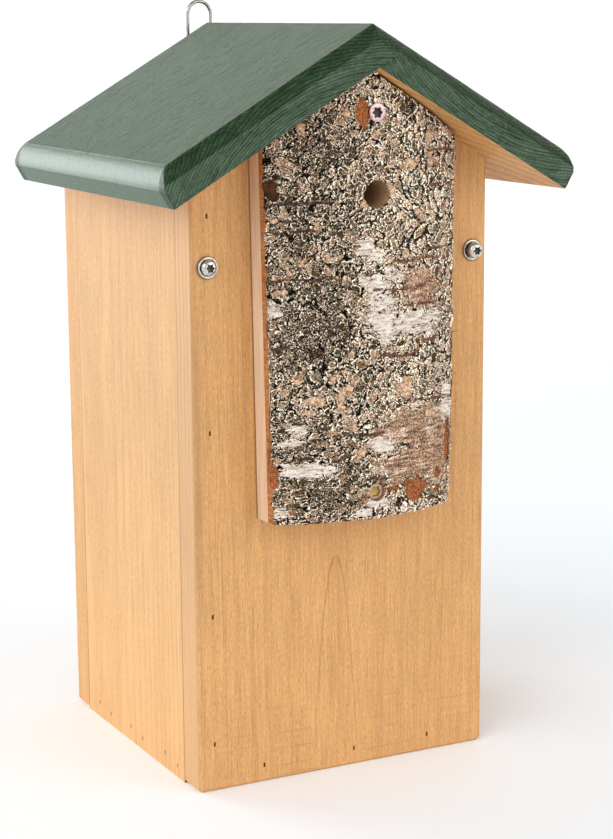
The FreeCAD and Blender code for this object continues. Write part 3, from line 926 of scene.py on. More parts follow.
@dataclass
class RoofBoard:
    """One roof board: a slab with a moulded eave and moulded verges, mitred and lapped at the ridge."""

    node: str
    side: int
    laps: bool
    pith: Pair
    pitch: float = math.radians(30.0)
    thick: float = 18.0
    slope: float = 135.0
    eave: Pair = (9.0, 8.5)
    verge: Pair = (6.6, 6.5)
    turn: float = math.radians(50.0)
    groove: float = 0.38
    groove_fade: Pair = (9.0, 2.0)
    brush: float = 0.05
    eave_cols: int = 14
    end_cols: int = 4
    lap_cols: int = 10
    arc_rows: int = 10
    top_rows: int = 64
    top_cols: int = 190
    cap_rows: int = 36

    def ends(self) -> Pair:
        """Places of the board's front and back end."""
        low, high = corners(self.node)
        return float(low[1]), float(high[1])

    def moulding(self, cut: Pair, steps: int) -> tuple[Array, Array]:
        """Convex arc of a moulded edge.

        The arc joins the top face, cut[0] in from the end, to the end face, cut[1] down, and turns through
        the moulding's angle: centre plus radius times (outward by cosine, along the chord by sine).

        Args:
            cut: How much the moulding takes off the top and off the end.
            steps: Points along the arc.

        Returns:
            Distance in from the end and drop below the top, from the end face to the top face.
        """
        chord = math.hypot(*cut)
        radius = chord / (2.0 * math.sin(self.turn / 2.0))
        angle = np.linspace(-self.turn / 2.0, self.turn / 2.0, steps)
        reach = radius * (np.cos(angle) - math.cos(self.turn / 2.0))
        slide = 0.5 + np.sin(angle) / (2.0 * math.sin(self.turn / 2.0))
        return cut[0] * slide - cut[1] / chord * reach, cut[1] * (1.0 - slide) - cut[0] / chord * reach

    def outline(self, drop: Array) -> tuple[Array, Array, Array]:
        """Sections of the board where its verges lower the top by a drop.

        Args:
            drop: One drop for each row.

        Returns:
            Down-slope and outward places of the upper outline, and the down-slope places of the lower one.
        """
        tan = math.tan(self.pitch)
        lap = self.thick / math.tan(2.0 * self.pitch)
        fold = self.thick * tan
        inset, fall = self.moulding(self.eave, self.eave_cols)
        start = drop * tan if self.laps else fold + lap - drop * tan
        foot = 2.0 * drop * tan - lap if self.laps else np.full_like(drop, fold)
        end_n = np.linspace(-self.thick, -self.eave[1], self.end_cols + 1)[:-1]
        share = np.linspace(0.0, 1.0, self.top_cols)[1:]
        close = np.linspace(0.0, 1.0, self.lap_cols)[1:]
        rows = (len(drop), 1)
        top_s = self.slope - self.eave[0] + (start[:, None] - self.slope + self.eave[0]) * share
        end_s = start[:, None] + (foot - start)[:, None] * close
        close_n = -drop[:, None] - (self.thick - drop)[:, None] * close
        end = np.full((len(drop), self.end_cols), self.slope)
        s = np.concatenate([end, np.tile(self.slope - inset, rows), top_s, end_s], 1)
        n = np.concatenate([np.tile(end_n, rows), np.minimum(np.tile(-fall, rows), -drop[:, None]),
                            np.repeat(-drop[:, None], len(share), 1), close_n], 1)
        reach = np.linspace(0.0, 1.0, s.shape[1])
        return s, n, self.slope + (foot[:, None] - self.slope) * reach

    def relief(self, s: Array, n: Array, y: Array) -> tuple[Array, Array, Array]:
        """Sawn grain pressed into the verges and brush marks on the top.

        Grooves are ridged noise drawn out along the growth rings about the pith, and fade away from the
        board's ends; brush marks are noise drawn out along the slope, and fade towards the underside.

        Args:
            s: Down-slope places.
            n: Outward places, 0 at the top face.
            y: Places along the ridge.

        Returns:
            The places with their relief.
        """
        bend = 1.2 * fractal(s / 34.0, n / 30.0, 11 + self.side, 3)
        away = np.hypot(s - self.pith[0], n - self.pith[1]) + bend
        ridged = 1.0 - np.abs(fractal(s / 40.0, away / 1.2, 23 + self.side, 2))
        uneven = 0.10 * fractal(s / 8.0, n / 3.0, 31 + self.side, 3)
        depth = self.groove * smooth(ridged, 0.70, 0.95) + 0.10 + uneven
        front, back = self.ends()
        y = y + depth * (smooth(y - front, *self.groove_fade) - smooth(back - y, *self.groove_fade))
        eave_from = self.slope - 2.0 * self.eave[0]
        at_eave = smooth(s, eave_from, self.slope - self.eave[0])
        strokes = fractal(s / 9.0, y / 2.2, 41 + self.side, 4) * (1 - at_eave)
        strokes = strokes + at_eave * fractal(s / 2.4, y / 22.0, 47, 3)
        lift = self.brush * strokes + 0.10 * fractal(s / 30.0, y / 40.0, 43, 2)
        lift = np.where(s > eave_from, -np.abs(lift), lift - 0.05)
        return s, n + lift * smooth(n, -self.thick * 0.8, -self.thick * 0.3), y

    def spots(self, s: Array, n: Array, y: Array) -> Array:
        """Points in space of places on the board, with their relief.

        Args:
            s: Down-slope places.
            n: Outward places, 0 at the top face.
            y: Places along the ridge.

        Returns:
            The points: down the slope and out of it, turned by the roof's pitch and hung from the ridge.
        """
        s, n, y = self.relief(s, n, y)
        sin, cos = math.sin(self.pitch), math.cos(self.pitch)
        return np.stack([self.side * (s * cos + n * sin), y, ridge_z() - s * sin + n * cos], -1)

    def build(self, paint: Material, bare: Material, band_paint: Material) -> bpy.types.Object:
        """Makes the board: upper and lower sheets along the ridge, and two capping faces between them.

        Args:
            paint: Painted finish.
            bare: Finish of the underside.
            band_paint: Darker, duller copy of the paint for the moulded verges, painted shade.

        Returns:
            The board.
        """
        front, back = self.ends()
        inset, fall = self.moulding(self.verge, self.arc_rows)
        middle = np.linspace(front + self.verge[0], back - self.verge[0], self.top_rows)[1:-1]
        y = np.concatenate([front + inset, middle, (back - inset)[::-1]])
        drop = np.concatenate([fall, np.zeros(len(middle)), fall[::-1]])
        s, n, under = self.outline(np.maximum(drop, 0.0))
        shell = Shell()
        rows = np.repeat(y[:, None], s.shape[1], 1)
        base = np.full_like(under, -self.thick)
        ids = shell.add(self.spots(s, n, rows))
        shell.lattice(ids[self.arc_rows - 1:1 - self.arc_rows])
        for band in (ids[:self.arc_rows], ids[-self.arc_rows:]):
            shell.lattice(band, 2)
        shell.lattice(shell.add(self.spots(under, base, rows)), 1)
        rise = np.linspace(0.0, 1.0, self.cap_rows)[:, None]
        for k in (0, -1):
            cap_s = under[k] + (s[k] - under[k]) * rise
            cap_n = base[k] + (n[k] - base[k]) * rise
            shell.lattice(shell.add(self.spots(cap_s, cap_n, np.full_like(cap_s, y[k]))))
        places = np.concatenate(shell.points)[:, 1]
        sawn = smooth(places - front, 7.0, 6.0) + smooth(back - places, 7.0, 6.0)
        return shell.piece(self.node + "_painted", [paint, bare, band_paint], 16.0, {"sawn": sawn})


@dataclass
class Roof:
    """Both roof boards with their paint and bare undersides."""

    boards: tuple[RoofBoard, ...] = (RoofBoard("roof_left", -1, True, (60.0, -110.0)),
                                     RoofBoard("roof_right", 1, False, (75.0, 120.0)))
    under: Tones = ((0.75, 0.42, 0.155), (0.48, 0.23, 0.070))

    def build(self) -> None:
        """Makes, dresses and places both boards."""
        bare = BoardWood("roof_bare_wood", GrainRun.SLOPE, (-20.0, -160.0), 0.02, *self.under, ring=3.6,
                         shift=90.0, rings_show=0.9).material()
        for board in self.boards:
            sizes = board.side, ridge_z(), board.pitch, board.thick, board.slope
            paint = RoofPaint(board.node + "_paint", *sizes, pith=board.pith).material()
            # Darker, duller copy of the paint for the moulded verges: painted shade for the dark band there.
            deep = RoofPaint(board.node + "_band_paint", *sizes, depth=0.62, gloss=0.15, lined=0.6,
                             pith=board.pith).material()
            settle(board.build(paint, bare, deep), "box", "roof_paint", board.node)


class Layer(Enum):
    """Kinds of patches on the bark."""

    TORN = "torn"
    FLAKE = "flake"
    WHITE = "white"
    DARK = "dark"
    SOIL = "soil"
    STRIPE = "stripe"
    SHADY = "shady"
    PALE = "pale"


# Patches by kind: middle across and up, half size across and up, in millimetres.
PATCHES: dict[Layer, tuple[tuple[float, ...], ...]] = {
    Layer.TORN: (
        (-5, 342, 3.7, 8.1), (27, 151, 7.3, 6.8), (5, 155, 3.0, 1.5), (13, 154, 3.7, 1.5),
        (43, 149, 2.4, 2.1), (43, 157, 2.4, 3.2), (52, 172, 2.6, 11.1), (-49.5, 306, 5.0, 7.0),
        (-49.5, 165, 3.2, 8.6),
    ),
    Layer.FLAKE: (
        (-14, 342, 2.5, 3.8), (-35, 334, 2.3, 3.8), (-43, 319, 3.5, 2.9), (-48, 291, 2.1, 2.2),
        (-27, 288, 2.4, 2.9), (-35, 270, 2.3, 3.4), (-42, 266, 1.6, 1.9), (-32, 259, 1.9, 1.5),
        (-46, 256, 3.5, 2.7), (36, 329, 3.2, 4.9), (37, 318, 3.2, 5.4), (21, 315, 6.1, 2.6),
        (11, 304, 2.5, 5.8), (-3, 298, 3.8, 2.9), (29, 291, 2.6, 4.5), (21, 272, 3.0, 3.0),
        (26, 258, 6.1, 3.4), (-20, 212, 2.5, 3.5), (-9, 211, 2.7, 3.0), (-17, 203, 3.6, 4.5),
        (-12, 207, 2.6, 3.5), (-16, 198, 3.1, 3.0), (-12, 191, 2.6, 2.5), (-37, 213, 2.8, 3.2),
        (-44, 207, 2.2, 2.7), (-30, 203, 5.2, 3.5), (-33, 196, 4.7, 2.0), (20, 205, 5.0, 6.6),
        (37, 189, 5.0, 2.4), (-10, 187, 2.7, 2.0), (-6, 174, 3.3, 2.5), (-11, 224, 1.9, 2.5),
    ),
    Layer.WHITE: (
        (-4, 277, 4.4, 3.2), (3, 272, 6.0, 2.6), (2, 257, 8.5, 6.5), (6, 244, 9.5, 9.0),
        (26, 238, 16.0, 6.0), (9, 233, 8.0, 5.5), (-48.5, 248, 4.5, 4.4), (13, 263, 6.0, 4.0),
        (51, 189, 4.5, 6.8), (51, 199, 3.6, 3.1), (6, 177, 5.9, 4.1), (-35, 167, 13.0, 3.6),
        (2, 148, 6.4, 2.6), (-4, 144, 5.0, 2.0), (-47, 146, 3.4, 2.6), (-37, 188, 5.0, 2.0),
        (-42, 181, 6.0, 1.8),
    ),
    Layer.DARK: (
        (22, 345, 3.6, 3.8), (-11, 291, 2.6, 5.3), (20, 279, 5.1, 4.9), (-18, 255, 4.6, 4.4),
        (-31, 226, 13.0, 6.5), (-17, 236, 4.2, 20.0), (15, 250, 3.1, 3.5), (-36, 301, 8.2, 6.7),
        (-15, 219, 8.3, 2.5), (-37, 161, 9.3, 3.5), (-15, 153, 3.7, 3.6), (-29, 148, 3.4, 4.1),
        (-8, 151, 4.4, 2.6),
    ),
    Layer.SHADY: (
        (-31, 256, 23.0, 40.0), (-8, 329, 26.0, 8.5), (12, 326, 9.0, 10.0), (-26, 322, 17.0, 12.0),
        (-24, 153, 10.0, 8.0), (-12, 164, 6.0, 18.0), (-46, 228, 8.0, 14.0), (-4, 209, 6.0, 9.0),
        (-44, 174, 9.0, 4.0), (22, 345, 9.0, 7.0), (-20, 338, 8.0, 7.0), (-18, 252, 6.0, 9.0),
        (-8, 151, 7.0, 5.0),
    ),
    Layer.PALE: (
        (1, 351, 15.0, 8.0), (-46, 324, 7.0, 8.0), (4, 271, 14.0, 13.0), (37, 288, 16.0, 32.0),
        (-30, 201, 7.0, 9.0), (20, 205, 8.0, 9.0), (28, 194, 20.0, 4.5), (-12, 269, 6.0, 6.0),
        (-32, 248, 6.0, 6.0), (-51, 319, 5.0, 7.0),
    ),
    Layer.STRIPE: (
        (-28, 163, 30.0, 27.0), (-36, 184, 14.0, 8.0),
    ),
    Layer.SOIL: (
        (25, 184, 20.7, 10.3), (24, 165, 22.1, 8.8), (32, 254, 13.0, 10.0), (42, 172, 14.0, 22.0),
    ),
}

# Heights of the bark's main relief over a grid of places, rows from the foot up, in millimetres.
SWELL: tuple[tuple[float, ...], ...] = (
    (-0.4, 0.2, -0.8, 0.0, -0.6, 0.1, -0.8), (-1.0, -0.9, 0.1, 0.0, -1.1, -0.2, -1.2),
    (0.1, 0.2, -0.9, 0.1, -0.3, -0.8, 0.0), (-0.9, 0.2, 0.3, -0.9, 0.3, -0.7, 0.1),
    (-0.2, -1.1, -1.2, 0.1, -0.6, 0.2, -0.6), (0.0, -0.8, -1.0, 0.3, 0.3, -0.2, -0.9),
    (-0.8, 0.1, 0.2, 0.3, -0.9, 0.1, -0.2), (-1.1, -1.1, -0.6, -0.2, -0.7, 0.2, -0.8),
    (-0.6, 0.2, -0.9, 0.0, 0.2, -0.7, 0.1), (-0.4, -0.8, -0.7, 0.0, -1.1, 0.0, -0.6),
    (0.0, 0.0, -0.6, 0.0, -0.6, 0.0, 0.0),
)

# Level rows of lenticels: middle across, height and half length, in millimetres.
GROOVES: tuple[Spot, ...] = (
    (-36, 338, 5), (-20, 329, 6), (-15, 324, 7), (-10, 307, 4), (-36, 299, 15), (-33, 285, 17),
    (42, 273, 9), (28, 269, 16), (-36, 262, 18), (17, 255, 17), (29, 246, 9), (-20, 238, 6), (34, 228, 8),
    (-45, 228, 5), (18, 222, 13), (35, 197, 12), (-6, 183, 14), (2, 160, 6), (44, 145, 9), (45, 322, 11),
    (44, 305, 10), (-41, 290, 4), (-22, 320, 4),
)


@dataclass
class LogSlab:
    """The bark of the log slab as a closed shell with its relief, and the dressing of the wood behind it."""

    middle: float = 3.0
    top_w: float = 110.0
    foot_w: float = 104.5
    foot_z: float = 140.0
    apex: float = 363.0
    pitch: float = math.radians(30.0)
    top_gap: float = 1.0
    face: tuple[float, float, float] = (16.5, 30.0, 13.0)
    bark: float = 6.5
    hole_d: float = 14.0
    hole_z: float = 302.0
    screw_d: float = 9.1
    margin: float = 5.0
    strands: tuple[Spot, ...] = ((228.0, 2.8, 1.8), (208.0, 2.2, -1.6), (192.0, 3.0, 1.2),
                                 (171.0, 2.0, -1.2))
    strand_r: float = 0.28
    strand_sides: int = 6
    cols: int = 212
    rows: int = 390

    def arc(self, x: Array, less: float) -> Array:
        """Thickness of the slab at x: the circle through its left, middle and right thickness, less some.

        Args:
            x: Places across.
            less: What is taken off.

        Returns:
            The thickness.
        """
        xs = np.array([self.middle - self.top_w / 2, self.middle, self.middle + self.top_w / 2])
        ts = np.array(self.face)
        lines = 2.0 * np.stack([np.diff(xs), np.diff(ts)], 1)
        centre = np.linalg.solve(lines, np.diff(xs ** 2 + ts ** 2))
        radius = math.hypot(xs[0] - centre[0], ts[0] - centre[1])
        return centre[1] + np.sqrt(np.maximum(radius ** 2 - (x - centre[0]) ** 2, 0.0)) - less

    def outline(self) -> tuple[Array, Array]:
        """Grid over the face: straight lines from the foot to the top, which is cut to the roof.

        Returns:
            Places across and up, rows from the foot to the top.
        """
        u = np.linspace(-0.5, 0.5, self.cols)[None, :]
        v = np.linspace(0.0, 1.0, self.rows)[:, None]
        foot_x = self.middle + u * self.foot_w
        top_x = self.middle + u * self.top_w
        top_z = self.apex - np.abs(top_x) * math.tan(self.pitch) - self.top_gap / math.cos(self.pitch)
        return foot_x + (top_x - foot_x) * v, self.foot_z + (top_z - self.foot_z) * v

    def swell(self, x: Array, z: Array) -> Array:
        """Main relief that the bark shares with its solid: the grid's heights joined by smooth steps.

        Args:
            x: Places across.
            z: Places up.

        Returns:
            Height over the arched face.
        """
        table = np.array(SWELL)
        rows, cols = table.shape
        wide, tall = self.top_w + 2.0 * self.margin, self.apex - self.foot_z + 2.0 * self.margin
        c = np.clip(((x - self.middle) / wide + 0.5) * (cols - 1), 0.0, cols - 1.001)
        r = np.clip((z - self.foot_z + self.margin) / tall * (rows - 1), 0.0, rows - 1.001)
        i, j = r.astype(int), c.astype(int)
        u, v = smooth(c - j, 0.0, 1.0), smooth(r - i, 0.0, 1.0)
        low = table[i, j] * (1 - u) + table[i, j + 1] * u
        high = table[i + 1, j] * (1 - u) + table[i + 1, j + 1] * u
        return low * (1 - v) + high * v

    def patches(self, x: Array, z: Array) -> dict[Layer, Array]:
        """How far each place lies inside the patches of each kind, as a share of their half size.

        Rims are ragged by noise, which is drawn out across the slab for white skin, stripes and soil.

        Args:
            x: Places across.
            z: Places up.

        Returns:
            Depth by kind, from -1 to 1, above 0 inside.
        """
        round_rag = 1.25 * fractal(x / 2.4, z / 2.4, 13, 4, 0.70) - 0.12
        level_rag = 0.85 * fractal(x / 6.5, z / 2.8, 17, 4, 0.68)
        torn_rag = 0.75 * fractal(x / 3.2, z / 3.2, 23, 4, 0.6) - 0.02
        wide_rag = 0.5 * fractal(x / 7.0, z / 9.0, 43, 3)
        rims = {Layer.TORN: torn_rag, Layer.FLAKE: round_rag, Layer.DARK: round_rag, Layer.SHADY: wide_rag,
                Layer.PALE: wide_rag}
        inside = {}
        for layer, rows in PATCHES.items():
            rim = rims.get(layer, level_rag)
            depths = [1.0 - np.hypot((x - px) / rx, (z - pz) / rz) + rim for px, pz, rx, rz in rows]
            inside[layer] = np.clip(np.max(depths, 0), -1.0, 1.0)
        return inside

    def lenticels(self, x: Array, z: Array) -> Array:
        """Short level bands along the grooves, broken by noise.

        Args:
            x: Places across.
            z: Places up.

        Returns:
            How much of a lenticel each place is, from 0 to 1.
        """
        found = np.zeros_like(x)
        for k, (middle, height, half) in enumerate(GROOVES):
            wave = height + 0.9 * waves(x / 6.0, np.full_like(x, k), 15)
            band = smooth(np.abs(z - wave), 1.1, 0.3) * smooth(np.abs(x - middle), half + 1, half - 2)
            found = np.maximum(found, band * smooth(waves(x / 2.2, z / 0.9, 19 + k), -0.6, 0.0))
        return found

    def plates(self, x: Array, z: Array, stripe: Array) -> tuple[Array, Array]:
        """Plates of the bark: scattered cells, upright at the right side and level in the striped parts.

        Args:
            x: Places across.
            z: Places up.
            stripe: Depth inside the striped parts.

        Returns:
            Distance from the plate's edge in cells, and the plate's random tone.
        """
        wx = x + 1.6 * fractal(x / 5.0, z / 5.0, 3, 3) + 0.8 * fractal(x / 1.6, z / 1.6, 5, 2)
        wz = z + 1.6 * fractal(x / 5.0, z / 5.0, 7, 3) + 0.8 * fractal(x / 1.6, z / 1.6, 9, 2)
        group_edge, group_tone = cells(wx / 8.6, wz / 7.8, 91)
        small_edge, small_tone = cells(wx / 3.7, wz / 3.4, 101)
        tall_edge, tall_tone = cells(wx / 3.6, wz / 7.4, 131)
        flat_edge, flat_tone = cells(wx / 6.6, wz / 2.6, 151)
        upright = (x + 7.0 * waves(x / 9.0, z / 9.0, 161) > 22.0) & (z > 215.0)
        level = stripe > 0.0
        edge = np.where(level, flat_edge, np.where(upright, tall_edge, small_edge))
        tone = np.where(level, flat_tone, np.where(upright, tall_tone, small_tone))
        apart = np.where(level, 1.0, 1.5 * group_edge + 0.25 * smooth(group_tone, 0.60, 0.70))
        return np.minimum(edge, apart), np.clip(0.75 * tone + 0.25 * group_tone, 0.0, 1.0)

    def layers(self, x: Array, z: Array) -> dict[str, Array]:
        """The bark's layers and the height of its face.

        Plates stand up between fissures, and are missing where the bark is dark. White skin and flakes lie on
        top of them, flakes with a fissure round them. Torn patches and lenticels are sunk.

        Args:
            x: Places across.
            z: Places up.

        Returns:
            Arrays by name, with the height in millimetres under "height".
        """
        inside = self.patches(x, z)
        kinds = Layer.WHITE, Layer.FLAKE, Layer.TORN, Layer.STRIPE
        white, flake, torn, striped = (inside[k] for k in kinds)
        dark = smooth(inside[Layer.DARK], -0.5, 0.4)
        pale = smooth(white, -1.0, -0.1)
        edge, tone = self.plates(x, z, np.maximum(striped, pale - 0.5))
        shade = 0.56 + 0.26 * fractal(x / 14.0, z / 18.0, 29, 3) - 0.06 * smooth(x, 2.0, -40.0) - 0.19 * dark
        shade = shade + 0.05 * smooth(x, 8.0, 35.0) + 0.13 * pale - 0.03 * smooth(striped, -0.1, 0.2)
        shade = shade - 0.26 * smooth(inside[Layer.SHADY], -0.15, 0.40)
        shade = shade + 0.16 * smooth(inside[Layer.PALE], -0.2, 0.4)
        chance = hashed(np.round(tone * 4096.0), np.zeros_like(tone), 5)
        present = smooth(shade + 0.36 + 0.3 * smooth(x, 8.0, 30.0) - chance, -0.06, 0.06)
        edge = np.where(flake > -0.2, np.minimum(np.maximum(edge, 0.8 * flake), 1.6 * np.abs(flake)), edge)
        plate = np.minimum(edge - 0.07, 0.6 * present - 0.3)
        crack = smooth(np.abs(fractal(x / 7.0, z / 1.1, 37, 3)), 0.09, 0.02)
        white = white + 0.20 - 0.9 * crack - 0.45 * smooth(edge, 0.10, 0.02)
        white = np.minimum(white, -2.0 * torn)
        stands = smooth(plate, -0.02, 0.22)
        skin, lifted, sunk = smooth(white, -0.05, 0.1), smooth(flake, 0.0, 0.25), smooth(torn, -0.05, 0.15)
        lenticel = self.lenticels(x, z) * (1 - sunk)
        soil = smooth(inside[Layer.SOIL], -0.4, 0.4)
        rough = 1.0 - 0.70 * np.maximum(skin, np.maximum(sunk, 0.75 * soil))
        height = self.swell(x, z) - 0.55
        gritty = 0.22 * fractal(x / 1.3, z / 1.3, 57, 2)
        height = height + rough * (1.35 * stands * (0.45 + 0.75 * tone) - 0.7 + gritty)
        height = height + 0.35 * skin + 0.45 * lifted - 0.5 * lenticel - 0.5 * dark
        height = height - sunk * (1.5 + 0.35 * fractal(x / 1.8, z / 2.6, 59, 3))
        burn = np.clip(1.0 + 0.5 * fractal(x / 4.0, z / 6.0, 61, 3), 0.0, 1.0)
        burn = smooth(x, -42.0, -46.0) * smooth(z, 250.0, 280.0) * burn
        return {"height": height, "edge": edge, "plate": plate, "tint": tone, "shade": shade, "white": white,
                "flake": flake - 2.0 * np.maximum(torn, 0.0), "torn": torn, "burn": burn,
                "soil": inside[Layer.SOIL], "lenticel": lenticel}

    def holes(self) -> list[Pair]:
        """Height and radius of the starter hole and of both screws' counterbores.

        Returns:
            A pair for each hole.
        """
        low, high = corners("slab_screws")
        head_r, screw_r = (high[0] - low[0]) / 2.0, self.screw_d / 2.0
        return [(self.hole_z, self.hole_d / 2.0), (low[2] + head_r, screw_r), (high[2] - head_r, screw_r)]

    def bored(self, x: Array, z: Array) -> Array:
        """Which grid squares lie in the starter hole or in a screw's counterbore."""
        cx, cz = ((place[:-1, :-1] + place[1:, 1:]) / 2.0 for place in (x - self.middle, z))
        return np.any([np.hypot(cx, cz - hole_z) < hole_r for hole_z, hole_r in self.holes()], 0)

    def snapped(self, x: Array, z: Array, rim: Array) -> tuple[Array, Array]:
        """Moves the points on a hole's rim onto its circle.

        Args:
            x: Places across.
            z: Places up.
            rim: Which points lie on a rim.

        Returns:
            The places with round rims.
        """
        for hole_z, hole_r in self.holes():
            away = np.hypot(x - self.middle, z - hole_z)
            near = rim & (away < hole_r + 2.0)
            scale = np.where(near, hole_r / np.maximum(away, 0.1), 1.0)
            x = self.middle + (x - self.middle) * scale
            z = hole_z + (z - hole_z) * scale
        return x, z

    def build(self) -> bpy.types.Object:
        """Makes the bark: a fine face, a back on the wood that is fine only near holes, sides and hole walls.

        Returns:
            The bark.
        """
        x, z = self.outline()
        gone = self.bored(x, z)
        padded = np.pad(gone, 1)
        quarters = np.stack([padded[:-1, :-1], padded[:-1, 1:], padded[1:, :-1], padded[1:, 1:]])
        rim = quarters.any(0) & ~quarters.all(0)
        x, z = self.snapped(x, z, rim)
        layers = self.layers(x, z)
        edge = np.minimum(from_ends(self.cols)[None, :], from_ends(self.rows)[:, None])
        height = layers.pop("height") - 0.5 * smooth(edge, 2.5, 0.0) * (0.6 + waves(x / 1.7, z / 1.7, 71))
        fray = (0.5 + 1.6 * fractal(x / 5.0, z / 5.0, 73, 4, 0.65)) * smooth(edge, 5.0, 0.0)
        face_x = x - np.sign(x - self.middle) * np.maximum(fray, 0.0) * ~rim
        face = np.stack([face_x, front_y() - self.arc(x, 0.0) - height, z], -1)
        fine = np.pad(gone.any(1), 1, constant_values=True)
        rows = np.flatnonzero(fine[:-1] | fine[1:])
        back = np.stack([x, front_y() - self.arc(x, self.bark), z], -1)[rows]
        shell = Shell()
        face_ids, back_ids = shell.add(face), shell.add(back)
        shell.lattice(face_ids, keep=~gone)
        solid = (np.diff(rows) > 1)[:, None] | ~gone[rows[:-1]]
        shell.lattice(back_ids, keep=solid)
        full = np.full((self.rows, self.cols), -1)
        full[rows] = back_ids
        for end in (0, -1):
            shell.lattice(np.stack([face_ids[end], back_ids[end]]))
        for end in (0, -1):
            self.side_wall(shell, face_ids[:, end], full[:, end], rows)
        self.hole_walls(shell, face_ids, full, gone)
        none = np.zeros(back_ids.size)
        numbers = {key: np.concatenate([value.reshape(-1), none]) for key, value in layers.items()}
        numbers["cut"] = np.concatenate([np.zeros(face_ids.size), np.ones(back_ids.size)])
        numbers["bore"] = np.concatenate([0.45 * rim.reshape(-1), rim[rows].reshape(-1)])
        return shell.piece("birch_bark_face", [BirchBark("birch_bark").material()], 60.0, numbers)

    def side_wall(self, shell: Shell, face: Array, back: Array, rows: Array) -> None:
        """Closes one long side, with fans where the back has fewer points than the face.

        Args:
            shell: What the faces go into.
            face: Point numbers of the face's side, by row.
            back: Point numbers of the back's side, by row, -1 where there is none.
            rows: Rows that the back has.
        """
        for a, b in zip(rows[:-1], rows[1:]):
            run = face[a:b + 1]
            half = len(run) // 2
            if len(run) == 2:
                shell.put(np.array([[run[0], run[1], back[b], back[a]]]))
                continue
            first = np.stack([run[:half], run[1:half + 1], np.full(half, back[a])], 1)
            rest = len(run) - 1 - half
            second = np.stack([run[half:-1], run[half + 1:], np.full(rest, back[b])], 1)
            shell.put(np.concatenate([first, second, [[run[half], back[b], back[a]]]]))

    def hole_walls(self, shell: Shell, face: Array, back: Array, gone: Array) -> None:
        """Joins the hole rims of face and back, over every edge between a kept and a missing square.

        Args:
            shell: What the faces go into.
            face: Point numbers of the face.
            back: Point numbers of the back, -1 where there is none.
            gone: Which squares are missing.
        """
        level = np.argwhere(gone[1:] != gone[:-1]) + (1, 0)
        upright = np.argwhere(gone[:, 1:] != gone[:, :-1]) + (0, 1)
        for spots, step in ((level, (0, 1)), (upright, (1, 0))):
            i, j = spots[:, 0], spots[:, 1]
            m, k = i + step[0], j + step[1]
            shell.put(np.stack([face[i, j], face[m, k], back[m, k], back[i, j]], 1))

    def fibres(self, bark: Material) -> bpy.types.Object:
        """Loose bark fibres on the right edge: thin tapering tubes on bent paths.

        Args:
            bark: Finish that they share with the bark.

        Returns:
            The fibres.
        """
        shell = Shell()
        t = np.linspace(0.0, 1.0, 7)
        for k, (fz, reach, rise) in enumerate(self.strands):
            share = (fz - self.foot_z) / (self.apex - self.foot_z)
            edge = self.middle + (self.foot_w + (self.top_w - self.foot_w) * share) / 2.0
            y = front_y() - float(self.arc(np.array(edge - 1.0), 1.5))
            bend = rise * t ** 2 + 0.4 * np.sin(5 * t + k)
            path = np.stack([edge - 0.8 + (reach + 0.8) * t, y - 0.6 * t, fz + bend], 1)
            shell.rod(path, self.strand_r * (1.0 - 0.75 * t), self.strand_sides)
        return shell.piece("bark_fibres", [bark], 60.0)

    def dress(self) -> None:
        """Makes the bark and fibres, and dresses the wood."""
        bark = self.build()
        settle(bark, "box", "birch_bark", "slab_bark")
        settle(self.fibres(bark.data.materials[0]), "box", "birch_bark")
        wood = SlabWood("slab_birch_wood", (self.middle, self.hole_z), self.hole_d / 2.0)
        dressed("slab_wood", wood.material())


class HeadForm(Enum):
    """Forms of screw heads."""

    PAN = "pan"
    COUNTERSUNK = "countersunk"


@dataclass
class Screw:
    """A screw turned on its axis: head with a six-lobed recess, and shank."""

    form: HeadForm
    seat: Array
    out: Array
    head_d: float
    head_h: float
    shank_d: float
    length: float
    star_d: float = 3.7
    star_depth: float = 1.5
    lobe: float = 0.16
    sides: int = 72
    aged: float = 0.0

    def profile(self) -> Array:
        """Rows of radius, height and lobe share, from the middle of the recess to the end of the shank.

        A pan head's crown falls from the recess to the rim as the root of one less a power of the radius; a
        countersunk head is flat and tapers to the shank.

        Returns:
            The rows.
        """
        star, head, shank = self.star_d / 2.0, self.head_d / 2.0, self.shank_d / 2.0
        if self.form is HeadForm.PAN:
            r = np.linspace(star + 0.12, head, 14)
            rim = self.head_h * 0.42
            crown = rim + (self.head_h - rim) * np.sqrt(np.clip(1.0 - (r / head) ** 2.6, 0.0, 1.0))
            crown[-1] = rim
            dome = np.stack([r, crown, smooth(r, star + 0.7, star)], 1)
            under = [(head, 0.12, 0.0), (head - 0.12, 0.0, 0.0), (shank, 0.0, 0.0)]
        else:
            dome = np.array([(star + 0.12, -0.02, 1.0), (star + 0.5, 0.0, 0.3), (head - 0.25, 0.0, 0.0),
                             (head - 0.05, -0.08, 0.0), (head, -0.25, 0.0), (head, -0.45, 0.0)])
            under = [(shank, -self.head_h, 0.0)]
        top = float(dome[0, 1])
        floor = top - self.star_depth
        recess = [(0.0, floor - 0.25, 0.0), (star * 0.5, floor - 0.1, 0.5), (star * 0.93, floor, 1.0),
                  (star, floor + 0.12, 1.0), (star, top - 0.15, 1.0)]
        end = [(shank, -self.length, 0.0), (0.0, -self.length, 0.0)]
        return np.concatenate([np.array(recess), dome, np.array(under), np.array(end)])

    def grid(self) -> Array:
        """Turns the profile about the axis: radius times one plus the lobes' cosine, height along it.

        Returns:
            Grid of points, a row for each row of the profile.
        """
        rows = self.profile()
        turn = full_turn(self.sides)
        r = rows[:, :1] * (1.0 + rows[:, 2:] * self.lobe * np.cos(6.0 * turn)[None, :])
        up = np.array([0.0, 0.0, 1.0])
        ring = np.cos(turn)[:, None] * np.cross(up, self.out) + np.sin(turn)[:, None] * up
        return self.seat + r[..., None] * ring + rows[:, 1, None, None] * self.out


